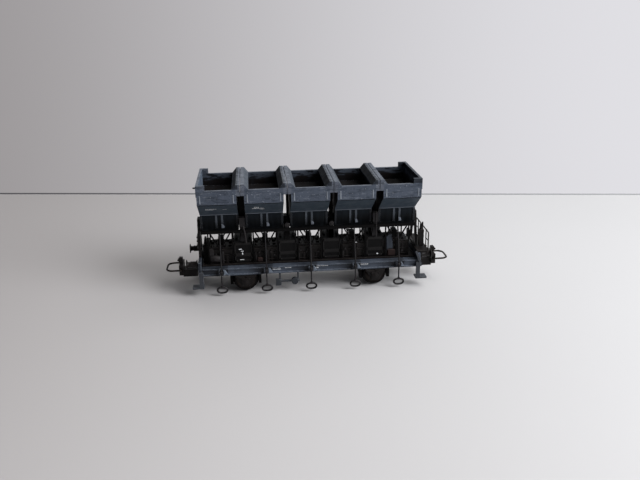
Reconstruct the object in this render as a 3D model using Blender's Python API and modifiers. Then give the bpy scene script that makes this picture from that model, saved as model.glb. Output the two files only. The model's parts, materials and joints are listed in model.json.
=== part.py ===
"""A two-axle model wagon with five side-tipping hoppers, gauge 16.5 mm, scale 1:87.

X runs along the wagon, with the brake platform at +X. Y runs across it, and -Y is the near side.
Z is up, and the wheel flanges stand on z = 0. Sizes are written in millimetres and shapes are joined at
that size, where Booleans are exact. piece_mesh and place turn each finished piece into metres.
"""

import math

import bpy
import bmesh
from mathutils import Matrix, Vector

MM = 0.001

# Clearances between pieces.
FIT_GAP = 0.3
HINGE_GAP = 0.3

# The hopper row.
HOPPER_COUNT = 5
HOPPER_LENGTH = 17.6
HOPPER_SPACING = 3.4
HOPPER_WALL = 0.9
RIM_HALF_WIDTH = 17.2
RIM_Z = 52.0
BAND_HEIGHT = 6.4
BAND_PROUD = 0.5
CREASE_HALF_WIDTH = 5.9
CREASE_Z = 37.7
CASING_HALF_WIDTH = 5.3
RIB_FOOT_Z = 30.8
CASING_BOTTOM_Z = 28.4
CASING_BOTTOM_HALF_WIDTH = 4.1
RIB_WIDTH = 0.9
RIB_PROUD = 0.35
RIB_HALF_SPACING = 1.35
HOOD_RISE = 2.4
HOOD_TOP_HALF_WIDTH = 1.8
HOOD_FOOT_HALF_WIDTH = 3.75
HOOD_SHEET = 0.8
HOOD_APRON = 2.7
GABLE_EXTRA = 0.25
GABLE_TAB = 4.0
PIVOT_Z = 31.0
TRUNNION_RADIUS = 0.7

# Wheelsets.
WHEELBASE = 61.8
FLANGE_RADIUS = 6.15
TREAD_RADIUS = 5.5
WHEEL_WIDTH = 2.8
WHEEL_INNER_Y = 7.2
AXLE_RADIUS = 1.0
AXLE_POINT_Y = 12.1
AXLE_POINT_RADIUS = 0.3
TURNED_STEPS = 24

# Underframe.
SOLEBAR_Y = 12.9
SOLEBAR_BOTTOM_Z = 9.7
SOLEBAR_HEIGHT = 3.5
SOLEBAR_LIP = 0.8
SOLEBAR_WEB = 0.9
SOLEBAR_FLANGE = 0.6
SOLEBAR_SHELF = 0.7
SOLEBAR_SHELF_Y = 8.8
HEADSTOCK_THICKNESS = 1.4
HEADSTOCK_HALF_WIDTH = 13.2
HEADSTOCK_BOTTOM_Z = 10.1
HEADSTOCK_HEIGHT = 6.6
ROW_TO_HEADSTOCK = 0.4
DECK_THICKNESS = 1.1
FLANGE_TO_DECK = 0.4
BALLAST_TO_BRAKES = 1.55
BED_HEIGHT = 6.8
BED_HALF_WIDTH = 6.6
BALLAST_HEIGHT = 1.9

# Trestles and bracing.
PEDESTAL_HALF_LENGTH = 4.3
PEDESTAL_HALF_WIDTH = 7.2
PEDESTAL_TOP_Z = 24.0
TRESTLE_FOOT_HALF_WIDTH = 6.2
TRESTLE_HEAD_HALF_WIDTH = 2.3
TRESTLE_HEAD_ABOVE_PIVOT = 3.6
TRESTLE_LEG = 1.3
ROLLER_RADIUS = 1.25
BRACKET_SIZE = 4.4
LADDER_TREADS = 4
STOP_PLATE_HALF_WIDTH = 2.2
STOP_PLATE_TOP_Z = 45.5
BRACING_THICKNESS = 0.7
CHORD_TOP_Z = 30.4
CHORD_HEIGHT = 1.5
STRUT_WIDTH = 0.6
STRUT_APEX_Z = 21.0

# Locking levers.
LEVER_PIVOT_Y = 14.0
LEVER_PIVOT_Z = 11.6
LEVER_ROD_RADIUS = 0.35
LEVER_TIP_Y = 8.95
LEVER_TIP_Z = 29.6
LEVER_EYE_RADIUS = 0.85
LEVER_EYE_WIDTH = 0.9
RING_Z = 3.1
RING_Y = 14.2
RING_HALF_LENGTH = 2.3
RING_HALF_HEIGHT = 1.6
CHEEK_THICKNESS = 0.45

# Axle guards and brake rigging.
GUARD_THICKNESS = 0.9
GUARD_INNER_Y = 11.3
GUARD_HALF_LENGTH = 5.2
AXLE_BOX_HALF_LENGTH = 1.9
AXLE_BOX_DEPTH = 2.0
SHOE_CLEARANCE = 0.45
SHOE_THICKNESS = 1.4
SHOE_HEIGHT = 4.4

# Ends.
BUFFER_Y = 11.0
BUFFER_Z = 15.5
BUFFER_LENGTH = 5.3
BUFFER_HEAD_RADIUS = 2.3
BUFFER_SLEEVE_RADIUS = 1.2
COUPLER_PIVOT_INSET = 3.2
COUPLER_PIN_RADIUS = 0.7
COUPLER_SHANK_HALF_WIDTH = 1.4
COUPLER_SHANK_HEIGHT = 1.7
COUPLER_HEAD_FROM_HEADSTOCK = 9.8
COUPLER_HEAD_HALF_WIDTH = 4.5
COUPLER_HEAD_LENGTH = 2.0
COUPLER_HEAD_HEIGHT = 4.8
BAIL_RADIUS = 0.42
BAIL_REACH = 6.95
STEP_THICKNESS = 0.6
STEP_WIDTH = 2.0
STEP_Z = 3.9
STEP_REACH = 3.4
STEP_DEPTH = 4.4
PLATFORM_LENGTH = 5.9
PLATFORM_THICKNESS = 0.8
RAILING_RADIUS = 0.3
RAILING_HEIGHT = 8.4
RAILING_INNER_POST_Y = 7.6
STAND_HEIGHT = 9.8
STAND_SIZE = 2.2
CRANK_ARM = 2.0

# Sizes that follow from those above.
PITCH = HOPPER_LENGTH + HOPPER_SPACING
ROW_HALF_LENGTH = HOPPER_COUNT * PITCH / 2
HOPPER_HALF = HOPPER_LENGTH / 2
HOPPER_X = [(i - (HOPPER_COUNT - 1) / 2) * PITCH for i in range(HOPPER_COUNT)]
DIVIDER_X = [(i - HOPPER_COUNT / 2) * PITCH for i in range(1, HOPPER_COUNT)]
ROW_END_X = ROW_HALF_LENGTH - HOPPER_SPACING / 2
HEADSTOCK_X = ROW_END_X + ROW_TO_HEADSTOCK
FRAME_X = HEADSTOCK_X - FIT_GAP
HEADSTOCK_FACE_X = HEADSTOCK_X + HEADSTOCK_THICKNESS
HEADSTOCK_TOP_Z = HEADSTOCK_BOTTOM_Z + HEADSTOCK_HEIGHT
SOLEBAR_TOP_Z = SOLEBAR_BOTTOM_Z + SOLEBAR_HEIGHT
AXLE_Z = FLANGE_RADIUS
BALLAST_HALF_LENGTH = WHEELBASE / 2 - TREAD_RADIUS - SHOE_CLEARANCE - SHOE_THICKNESS - BALLAST_TO_BRAKES
DECK_BOTTOM_Z = AXLE_Z + FLANGE_RADIUS + FLANGE_TO_DECK
DECK_TOP_Z = DECK_BOTTOM_Z + DECK_THICKNESS
PLATFORM_BOTTOM_Z = HEADSTOCK_TOP_Z + FIT_GAP
PLATFORM_TOP_Z = PLATFORM_BOTTOM_Z + PLATFORM_THICKNESS
PLATFORM_END_X = FRAME_X + PLATFORM_LENGTH
BRACING_Y = PEDESTAL_HALF_WIDTH + FIT_GAP
TRESTLE_HALF_THICKNESS = HOPPER_SPACING / 2 - HINGE_GAP - 0.1
COUPLER_TOP_Z = HEADSTOCK_BOTTOM_Z - FIT_GAP
COUPLER_HEAD_X = HEADSTOCK_FACE_X + COUPLER_HEAD_FROM_HEADSTOCK
NEAR, FAR = -1, 1
LEFT, RIGHT = -1, 1
SIDE_NAMES = {NEAR: "near", FAR: "far"}
END_NAMES = {LEFT: "left", RIGHT: "right"}


def start_scene():
    """Empties the scene and returns the collections for the finished pieces and for raw shapes."""
    for old in list(bpy.data.objects):
        bpy.data.objects.remove(old, do_unlink=True)
    made = []
    for name in ("hopper_wagon", "raw_shapes"):
        collection = bpy.data.collections.new(name)
        bpy.context.scene.collection.children.link(collection)
        made.append(collection)
    return made


WAGON, RAW = start_scene()


def paint(name, colour, roughness, metallic=0.0):
    material = bpy.data.materials.new(name)
    material.use_nodes = True
    shader = material.node_tree.nodes["Principled BSDF"]
    shader.inputs["Base Color"].default_value = (*colour, 1.0)
    shader.inputs["Roughness"].default_value = roughness
    shader.inputs["Metallic"].default_value = metallic
    return material


HOPPER_GREY = paint("hopper_grey", (0.17, 0.20, 0.24), 0.5)
FRAME_GREY = paint("frame_grey", (0.19, 0.22, 0.27), 0.5)
DARK_BROWN = paint("dark_brown", (0.035, 0.028, 0.026), 0.6)
WHEEL_BLACK = paint("wheel_black", (0.03, 0.026, 0.025), 0.4)
AXLE_STEEL = paint("axle_steel", (0.55, 0.55, 0.56), 0.3, 1.0)
BLACKENED_WIRE = paint("blackened_wire", (0.12, 0.11, 0.11), 0.4, 0.8)
LEVER_GREY = paint("lever_grey", (0.14, 0.15, 0.18), 0.5)
BALLAST_ZINC = paint("ballast_zinc", (0.45, 0.45, 0.44), 0.5, 1.0)


def raw(mesh):
    """A raw shape, kept out of the model until a piece takes it over."""
    shape = bpy.data.objects.new("raw", mesh)
    shape.hide_render = True
    shape.display_type = "WIRE"
    RAW.objects.link(shape)
    return shape


def mesh_from(shape):
    mesh = bpy.data.meshes.new("shape")
    shape.to_mesh(mesh)
    shape.free()
    return mesh


def block(low, high):
    """A box between two corners."""
    low = Vector(low)
    high = Vector(high)
    shape = bmesh.new()
    bmesh.ops.create_cube(shape, size=1.0)
    size = Matrix.Diagonal((high - low).to_4d())
    bmesh.ops.transform(shape, matrix=Matrix.Translation((low + high) / 2) @ size, verts=shape.verts)
    return raw(mesh_from(shape))


def bar(start, end, width, thickness, across=(0, 1, 0)):
    """A flat bar between two points, with its thickness along the direction called across."""
    start = Vector(start)
    end = Vector(end)
    along = (end - start).normalized()
    across = Vector(across)
    turn = Matrix((across.cross(along), across, along)).transposed().to_4x4()
    size = Matrix.Diagonal((width, thickness, (end - start).length, 1.0))
    shape = bmesh.new()
    bmesh.ops.create_cube(shape, size=1.0)
    place = Matrix.Translation((start + end) / 2) @ turn @ size
    bmesh.ops.transform(shape, matrix=place, verts=shape.verts)
    return raw(mesh_from(shape))


def rod(start, end, radius, sides=12):
    """A round bar between two points."""
    start = Vector(start)
    end = Vector(end)
    shape = bmesh.new()
    length = (end - start).length
    bmesh.ops.create_cone(
        shape, cap_ends=True, segments=sides, radius1=radius, radius2=radius, depth=length
    )
    turn = (end - start).to_track_quat("Z", "Y").to_matrix().to_4x4()
    bmesh.ops.transform(shape, matrix=Matrix.Translation((start + end) / 2) @ turn, verts=shape.verts)
    return raw(mesh_from(shape))


def mesh_of_curve(curve, flat_faces=False):
    """The closed mesh of a curve: its loose caps are welded on, and its faces point out.

    With flat_faces, the triangles of each flat face are made one face, which Booleans cut cleanly.
    """
    holder = bpy.data.objects.new("curve", curve)
    RAW.objects.link(holder)
    graph = bpy.context.evaluated_depsgraph_get()
    mesh = bpy.data.meshes.new_from_object(holder.evaluated_get(graph))
    bpy.data.objects.remove(holder)
    shape = bmesh.new()
    shape.from_mesh(mesh)
    bmesh.ops.remove_doubles(shape, verts=shape.verts, dist=0.001)
    if flat_faces:
        bmesh.ops.dissolve_limit(shape, angle_limit=0.001, verts=shape.verts, edges=shape.edges)
    bmesh.ops.recalc_face_normals(shape, faces=shape.faces)
    shape.to_mesh(mesh)
    shape.free()
    return mesh


AXIS_TURN = {
    "X": Matrix(((0, 0, 1, 0), (1, 0, 0, 0), (0, 1, 0, 0), (0, 0, 0, 1))),
    "Y": Matrix(((1, 0, 0, 0), (0, 0, -1, 0), (0, 1, 0, 0), (0, 0, 0, 1))),
    "Z": Matrix.Identity(4),
}


def plate(outlines, low, high, axis):
    """Flat outlines, the later ones being holes or islands, made solid from low to high along the axis.

    An outline for the X axis holds (y, z) points, for the Y axis (x, z), and for the Z axis (x, y).
    """
    curve = bpy.data.curves.new("outline", "CURVE")
    curve.dimensions = "2D"
    curve.fill_mode = "BOTH"
    curve.extrude = abs(high - low) / 2
    for outline in outlines:
        spline = curve.splines.new("POLY")
        spline.points.add(len(outline) - 1)
        for point, (u, v) in zip(spline.points, outline):
            point.co = (u, v, 0.0, 1.0)
        spline.use_cyclic_u = True
    mesh = mesh_of_curve(curve, flat_faces=True)
    middle = AXIS_TURN[axis].to_3x3() @ Vector((0, 0, 1))
    middle = Vector([abs(part) for part in middle]) * (low + high) / 2
    mesh.transform(Matrix.Translation(middle) @ AXIS_TURN[axis])
    return raw(mesh)


def wire(points, radius, closed=False):
    """A round wire through the points."""
    curve = bpy.data.curves.new("wire", "CURVE")
    curve.dimensions = "3D"
    curve.bevel_depth = radius
    curve.bevel_resolution = 1
    curve.use_fill_caps = True
    spline = curve.splines.new("POLY")
    spline.points.add(len(points) - 1)
    for point, place in zip(spline.points, points):
        point.co = (*place, 1.0)
    spline.use_cyclic_u = closed
    return raw(mesh_of_curve(curve))


def turned(profile, closed=False, steps=TURNED_STEPS):
    """A solid of revolution about Z from (radius, height) points, which run down the outer side."""
    mesh = bpy.data.meshes.new("profile")
    edges = [(i, i + 1) for i in range(len(profile) - 1)]
    if closed:
        edges.append((len(profile) - 1, 0))
    mesh.from_pydata([(radius, 0.0, height) for radius, height in profile], edges, [])
    shape = raw(mesh)
    screw = shape.modifiers.new("turn", "SCREW")
    screw.steps = steps
    screw.render_steps = steps
    screw.use_merge_vertices = True
    screw.merge_threshold = 0.0001
    screw.use_smooth_shade = True
    graph = bpy.context.evaluated_depsgraph_get()
    shape.data = bpy.data.meshes.new_from_object(shape.evaluated_get(graph))
    shape.modifiers.remove(screw)
    bpy.data.meshes.remove(mesh)
    return shape


def boolean(target, tool, operation):
    step = target.modifiers.new(operation, "BOOLEAN")
    step.operation = operation
    step.solver = "EXACT"
    step.object = tool
    graph = bpy.context.evaluated_depsgraph_get()
    target.data = bpy.data.meshes.new_from_object(target.evaluated_get(graph))
    target.modifiers.remove(step)
    bpy.data.objects.remove(tool)


def fuse(shapes):
    """One solid from shapes that run into each other."""
    body = shapes[0]
    for shape in shapes[1:]:
        boolean(body, shape, "UNION")
    return body


def cut(body, tools):
    for tool in tools:
        boolean(body, tool, "DIFFERENCE")
    return body


def piece_mesh(shape):
    """Takes the mesh from a raw shape, in metres, ready for one or more pieces."""
    mesh = shape.data
    bpy.data.objects.remove(shape)
    mesh.transform(Matrix.Scale(MM, 4))
    return mesh


def place(name, mesh, material, location=(0, 0, 0), turn=(0, 0, 0)):
    """A finished piece of the wagon."""
    mesh.materials.clear()
    mesh.materials.append(material)
    piece = bpy.data.objects.new(name, mesh)
    piece.location = Vector(location) * MM
    piece.rotation_euler = turn
    WAGON.objects.link(piece)
    return piece


def smooth(mesh, angle=35):
    mesh.shade_smooth()
    mesh.set_sharp_from_angle(angle=math.radians(angle))


def both_sides(outline):
    """The outline of a shape that is symmetric about the wagon's middle plane, from its +Y half."""
    return outline + [(-y, z) for y, z in reversed(outline)]


def mirrored(outline):
    return [(-u, v) for u, v in reversed(outline)]


# Hoppers. Each mesh has its origin on the tipping axis, so its heights are measured from there.


def hopper_shell():
    outer = [
        (RIM_HALF_WIDTH, RIM_Z - PIVOT_Z),
        (RIM_HALF_WIDTH, RIM_Z - BAND_HEIGHT - PIVOT_Z),
        (RIM_HALF_WIDTH - BAND_PROUD, RIM_Z - BAND_HEIGHT - BAND_PROUD / 2 - PIVOT_Z),
        (CREASE_HALF_WIDTH, CREASE_Z - PIVOT_Z),
        (CASING_HALF_WIDTH, RIB_FOOT_Z - PIVOT_Z),
        (CASING_BOTTOM_HALF_WIDTH, CASING_BOTTOM_Z - PIVOT_Z),
    ]
    inner_edge = RIM_HALF_WIDTH - BAND_PROUD - HOPPER_WALL
    inner = [
        (inner_edge, RIM_Z + HOOD_RISE * 2 - PIVOT_Z),
        (inner_edge, RIM_Z - BAND_HEIGHT + HOPPER_WALL / 2 - PIVOT_Z),
        (CREASE_HALF_WIDTH - HOPPER_WALL, CREASE_Z + HOPPER_WALL / 2 - PIVOT_Z),
        (CASING_HALF_WIDTH - HOPPER_WALL, RIB_FOOT_Z - PIVOT_Z),
        (CASING_BOTTOM_HALF_WIDTH - HOPPER_WALL, CASING_BOTTOM_Z + HOPPER_WALL - PIVOT_Z),
    ]
    body = plate([both_sides(outer)], -HOPPER_HALF, HOPPER_HALF, "X")
    inner_half = HOPPER_HALF - HOPPER_WALL
    return body, plate([both_sides(inner)], -inner_half, inner_half, "X")


def rib_strip(middle, width):
    """A rib on both lower casings at one place along the hopper, as two raw shapes."""
    foot = RIB_FOOT_Z - PIVOT_Z
    head = CREASE_Z - PIVOT_Z - RIB_PROUD
    outline = [
        (CASING_HALF_WIDTH - HOPPER_WALL / 2, foot),
        (CASING_HALF_WIDTH + RIB_PROUD, foot),
        (CREASE_HALF_WIDTH + RIB_PROUD, head),
        (CREASE_HALF_WIDTH - HOPPER_WALL / 2, head),
    ]
    low = middle - width / 2
    high = middle + width / 2
    return [plate([outline], low, high, "X"), plate([mirrored(outline)], low, high, "X")]


def hood_half(end):
    """Half of the ridge hood over the gap at one end of a hopper, with its two aprons."""
    middle = PITCH / 2
    edge = middle - FIT_GAP / 2
    rim = RIM_Z - PIVOT_Z
    top = rim + HOOD_RISE
    wall_in = HOPPER_HALF - HOPPER_WALL
    hood = [
        (middle - HOOD_FOOT_HALF_WIDTH, rim),
        (middle - HOOD_TOP_HALF_WIDTH, top),
        (edge, top),
        (edge, top - HOOD_SHEET),
        (HOPPER_HALF, top - HOOD_SHEET),
        (HOPPER_HALF, rim - HOOD_APRON),
        (wall_in, rim - HOOD_APRON),
        (middle - HOOD_FOOT_HALF_WIDTH, rim - HOOD_SHEET),
    ]
    apron = [
        (HOPPER_HALF - HOPPER_WALL / 2, top - HOOD_SHEET / 2),
        (edge, top - HOOD_SHEET / 2),
        (edge, rim - HOOD_APRON),
        (HOPPER_HALF - HOPPER_WALL / 2, rim - HOOD_APRON),
    ]
    if end == LEFT:
        hood = mirrored(hood)
        apron = mirrored(apron)
    apron_in = RIM_HALF_WIDTH - HOPPER_WALL
    return [
        plate([hood], -RIM_HALF_WIDTH, RIM_HALF_WIDTH, "Y"),
        plate([apron], apron_in, RIM_HALF_WIDTH, "Y"),
        plate([apron], -RIM_HALF_WIDTH, -apron_in, "Y"),
    ]


def gable(end):
    """The raised wall at the end of the row, with a tab on each long side."""
    low = RIM_Z - HOOD_APRON - PIVOT_Z
    top = RIM_Z + HOOD_RISE - PIVOT_Z
    wall = sorted((end * (HOPPER_HALF - HOPPER_WALL), end * (HOPPER_HALF + GABLE_EXTRA)))
    tab = sorted((end * (HOPPER_HALF + GABLE_EXTRA - GABLE_TAB), end * HOPPER_HALF))
    shapes = [block((wall[0], -RIM_HALF_WIDTH, low), (wall[1], RIM_HALF_WIDTH, top))]
    tab_in = RIM_HALF_WIDTH - BAND_PROUD - HOPPER_WALL
    for low_y, high_y in ((-RIM_HALF_WIDTH, -tab_in), (tab_in, RIM_HALF_WIDTH)):
        shapes.append(block((tab[0], low_y, low), (tab[1], high_y, top)))
    return shapes


def hopper_mesh(left_is_end, right_is_end):
    body, hollow = hopper_shell()
    cut(body, [hollow])
    additions = []
    for middle in (-RIB_HALF_SPACING, RIB_HALF_SPACING):
        additions += rib_strip(middle, RIB_WIDTH)
    edge_strip = HOPPER_HALF - RIB_WIDTH / 2
    for middle in (-edge_strip, edge_strip):
        additions += rib_strip(middle, RIB_WIDTH)
    for end, is_end in ((LEFT, left_is_end), (RIGHT, right_is_end)):
        additions += gable(end) if is_end else hood_half(end)
        start = (end * (HOPPER_HALF - HOPPER_WALL / 2), 0, 0)
        tip = (end * (PITCH / 2 - FIT_GAP), 0, 0)
        additions.append(rod(start, tip, TRUNNION_RADIUS))
    return piece_mesh(fuse([body] + additions))


def make_hoppers():
    first = hopper_mesh(True, False)
    inner = hopper_mesh(False, False)
    last = hopper_mesh(False, True)
    meshes = [first] + [inner] * (HOPPER_COUNT - 2) + [last]
    for number, (mesh, x) in enumerate(zip(meshes, HOPPER_X), 1):
        place(f"hopper_{number}", mesh, HOPPER_GREY, (x, 0, PIVOT_Z))


# Underframe.


def lever_cheeks(side):
    """The pairs of bracket cheeks on a solebar, one pair for each lever."""
    face = SOLEBAR_Y - SOLEBAR_LIP - SOLEBAR_WEB / 2
    tip = LEVER_PIVOT_Y + LEVER_EYE_RADIUS / 2
    outline = [
        (face, SOLEBAR_BOTTOM_Z + SOLEBAR_FLANGE / 2),
        (face, SOLEBAR_TOP_Z - SOLEBAR_FLANGE / 2),
        (LEVER_PIVOT_Y, SOLEBAR_TOP_Z - SOLEBAR_FLANGE / 2),
        (tip, LEVER_PIVOT_Z),
        (SOLEBAR_Y, SOLEBAR_BOTTOM_Z + SOLEBAR_FLANGE / 2),
    ]
    if side == NEAR:
        outline = mirrored(outline)
    inside = LEVER_EYE_WIDTH / 2 + HINGE_GAP
    shapes = []
    for x in HOPPER_X:
        for low in (x - inside - CHEEK_THICKNESS, x + inside):
            shapes.append(plate([outline], low, low + CHEEK_THICKNESS, "X"))
    return shapes


def make_solebar(side):
    web_out = SOLEBAR_Y - SOLEBAR_LIP
    web_in = web_out - SOLEBAR_WEB
    section = [
        (SOLEBAR_Y, SOLEBAR_TOP_Z),
        (SOLEBAR_Y, SOLEBAR_TOP_Z - SOLEBAR_FLANGE),
        (web_out, SOLEBAR_TOP_Z - SOLEBAR_FLANGE),
        (web_out, SOLEBAR_BOTTOM_Z + SOLEBAR_FLANGE),
        (SOLEBAR_Y, SOLEBAR_BOTTOM_Z + SOLEBAR_FLANGE),
        (SOLEBAR_Y, SOLEBAR_BOTTOM_Z),
        (web_in, SOLEBAR_BOTTOM_Z),
        (web_in, SOLEBAR_TOP_Z - SOLEBAR_SHELF),
        (SOLEBAR_SHELF_Y, SOLEBAR_TOP_Z - SOLEBAR_SHELF),
        (SOLEBAR_SHELF_Y, SOLEBAR_TOP_Z),
    ]
    if side == NEAR:
        section = mirrored(section)
    body = plate([section], -FRAME_X, FRAME_X, "X")
    mesh = piece_mesh(fuse([body] + lever_cheeks(side)))
    place(f"solebar_{SIDE_NAMES[side]}", mesh, FRAME_GREY)


def headstock_mesh():
    """A headstock for the right end, with the bracket and pin that the coupler turns on."""
    beam = block(
        (HEADSTOCK_X, -HEADSTOCK_HALF_WIDTH, HEADSTOCK_BOTTOM_Z),
        (HEADSTOCK_FACE_X, HEADSTOCK_HALF_WIDTH, HEADSTOCK_TOP_Z),
    )
    pivot_x = HEADSTOCK_X - COUPLER_PIVOT_INSET
    half = COUPLER_SHANK_HALF_WIDTH + 0.4
    top = DECK_BOTTOM_Z - FIT_GAP
    arm = block(
        (pivot_x - half, -half, HEADSTOCK_BOTTOM_Z),
        (HEADSTOCK_X + HEADSTOCK_THICKNESS / 2, half, top),
    )
    pin_foot = COUPLER_TOP_Z - COUPLER_SHANK_HEIGHT - FIT_GAP
    pin = rod((pivot_x, 0, pin_foot), (pivot_x, 0, top - FIT_GAP), COUPLER_PIN_RADIUS)
    return piece_mesh(fuse([beam, arm, pin]))


def make_headstocks():
    mesh = headstock_mesh()
    place("headstock_right", mesh, FRAME_GREY)
    place("headstock_left", mesh, FRAME_GREY, turn=(0, 0, math.pi))


def make_deck():
    """The floor with a low bed under each hopper, and the ballast weight below it."""
    half_width = SOLEBAR_SHELF_Y - FIT_GAP
    shapes = [block((-FRAME_X, -half_width, DECK_BOTTOM_Z), (FRAME_X, half_width, DECK_TOP_Z))]
    bed_half = PITCH / 2 - PEDESTAL_HALF_LENGTH - FIT_GAP
    bed_low = DECK_TOP_Z - DECK_THICKNESS / 2
    bed_top = DECK_TOP_Z + BED_HEIGHT
    for x in HOPPER_X:
        low = (x - bed_half, -BED_HALF_WIDTH, bed_low)
        shapes.append(block(low, (x + bed_half, BED_HALF_WIDTH, bed_top)))
    place("deck", piece_mesh(fuse(shapes)), DARK_BROWN)
    ballast_top = DECK_BOTTOM_Z - FIT_GAP
    half_width = WHEEL_INNER_Y - FIT_GAP
    ballast = block(
        (-BALLAST_HALF_LENGTH, -half_width, ballast_top - BALLAST_HEIGHT),
        (BALLAST_HALF_LENGTH, half_width, ballast_top),
    )
    place("ballast_weight", piece_mesh(ballast), BALLAST_ZINC)


# Trestles. An inner one stands on a pedestal in the gap between two hoppers.

TRESTLE_HEAD_Z = PIVOT_Z + TRESTLE_HEAD_ABOVE_PIVOT


def trestle_half_width(z, foot_z):
    share = (z - foot_z) / (TRESTLE_HEAD_Z - foot_z)
    return TRESTLE_FOOT_HALF_WIDTH + share * (TRESTLE_HEAD_HALF_WIDTH - TRESTLE_FOOT_HALF_WIDTH)


def trestle_frame(foot_z, low_x, high_x):
    """An A-shaped frame from foot_z to the bearings, as two legs, a head and a tie."""
    outline = both_sides([(TRESTLE_HEAD_HALF_WIDTH, TRESTLE_HEAD_Z), (TRESTLE_FOOT_HALF_WIDTH, foot_z)])
    window = []
    for z in (PIVOT_Z - 2.4 * TRUNNION_RADIUS, foot_z + TRESTLE_LEG):
        window.append((trestle_half_width(z, foot_z) - TRESTLE_LEG, z))
    return plate([outline, both_sides(window)], low_x, high_x, "X")


def bearing_cutter(low_x, high_x):
    reach = HINGE_GAP
    return rod(
        (low_x - reach, 0, PIVOT_Z), (high_x + reach, 0, PIVOT_Z), TRUNNION_RADIUS + HINGE_GAP, 16
    )


def make_inner_trestle(number, x):
    low = x - TRESTLE_HALF_THICKNESS
    high = x + TRESTLE_HALF_THICKNESS
    shapes = [
        block(
            (x - PEDESTAL_HALF_LENGTH, -PEDESTAL_HALF_WIDTH, DECK_TOP_Z + FIT_GAP),
            (x + PEDESTAL_HALF_LENGTH, PEDESTAL_HALF_WIDTH, PEDESTAL_TOP_Z),
        ),
        trestle_frame(PEDESTAL_TOP_Z - FIT_GAP, low, high),
    ]
    boss_end = PEDESTAL_HALF_WIDTH
    outer_pair = number in (1, HOPPER_COUNT - 1)
    for side in (NEAR, FAR):
        inner = side * TRESTLE_HEAD_HALF_WIDTH * 0.8
        if outer_pair:
            inset = low + 0.15
            outset = high - 0.15
            span = sorted((side * TRESTLE_HEAD_HALF_WIDTH * 0.6, side * (boss_end - BRACKET_SIZE / 2)))
            beam_z = TRESTLE_HEAD_Z - 1.6
            shapes.append(block((inset, span[0], beam_z), (outset, span[1], TRESTLE_HEAD_Z - 0.3)))
            span = sorted((side * (boss_end - BRACKET_SIZE / 2 - 0.3), side * (boss_end + 1.0)))
            box_low = CHORD_TOP_Z + 1.4
            shapes.append(block((low, span[0], box_low), (high, span[1], box_low + BRACKET_SIZE)))
        if outer_pair and side == FAR:
            plate_low = (low, -STOP_PLATE_HALF_WIDTH, TRESTLE_HEAD_Z - FIT_GAP)
            shapes.append(block(plate_low, (high, STOP_PLATE_HALF_WIDTH, STOP_PLATE_TOP_Z)))
        else:
            roller_z = CHORD_TOP_Z + ROLLER_RADIUS - 0.2
            end = (x, side * (boss_end - 0.1), roller_z)
            shapes.append(rod((x, inner, roller_z), end, ROLLER_RADIUS))
    body = cut(fuse(shapes), [bearing_cutter(low, high)])
    place(f"trestle_{number}", piece_mesh(body), DARK_BROWN)


def make_end_trestle(end):
    """The trestle at an end of the row. The left one carries ladder treads."""
    foot = (HEADSTOCK_TOP_Z if end == LEFT else PLATFORM_TOP_Z) + FIT_GAP
    inner_x = ROW_END_X + GABLE_EXTRA + FIT_GAP
    outer_x = ROW_HALF_LENGTH
    low, high = sorted((end * inner_x, end * outer_x))
    shapes = [trestle_frame(foot, low, high)]
    if end == LEFT:
        spacing = (PIVOT_Z - foot) / (LADDER_TREADS * 2)
        for tread in range(LADDER_TREADS):
            z = foot + TRESTLE_LEG + (tread + 1.2) * spacing
            half = trestle_half_width(z, foot) - TRESTLE_LEG / 2
            shapes.append(block((-outer_x - 0.7, -half, z), (-inner_x - 0.1, half, z + 0.6)))
    body = cut(fuse(shapes), [bearing_cutter(low, high)])
    place(f"trestle_{END_NAMES[end]}", piece_mesh(body), DARK_BROWN)


def make_bracing(side):
    """The lattice under the hoppers on one side: a top chord, and posts and a V under each hopper."""
    near_face = side * BRACING_Y
    far_face = side * (BRACING_Y + BRACING_THICKNESS)
    middle_y = (near_face + far_face) / 2
    low_y, high_y = sorted((near_face, far_face))
    chord_x = FRAME_X - FIT_GAP
    chord_bottom = CHORD_TOP_Z - CHORD_HEIGHT
    foot = DECK_TOP_Z + FIT_GAP
    shapes = [block((-chord_x, low_y, chord_bottom), (chord_x, high_y, CHORD_TOP_Z))]
    post_x = PITCH / 2 - PEDESTAL_HALF_LENGTH - STRUT_WIDTH
    joint_z = chord_bottom + CHORD_HEIGHT / 2
    thin = BRACING_THICKNESS - 0.1
    for x in HOPPER_X:
        for end in (LEFT, RIGHT):
            at = x + end * post_x
            shapes.append(bar((at, middle_y, foot), (at, middle_y, joint_z), STRUT_WIDTH, thin))
        shapes.append(bar((x, middle_y, foot), (x, middle_y, STRUT_APEX_Z + 0.8), 1.2, thin))
        for end in (LEFT, RIGHT):
            head = (x + end * (post_x - STRUT_WIDTH), middle_y, joint_z)
            strut = bar((x, middle_y, STRUT_APEX_Z), head, STRUT_WIDTH, thin - 0.1)
            shapes.append(strut)
    place(f"bracing_{SIDE_NAMES[side]}", piece_mesh(fuse(shapes)), DARK_BROWN)


# Locking levers. The mesh has its origin on the lever's pivot, for the near side.


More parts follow.
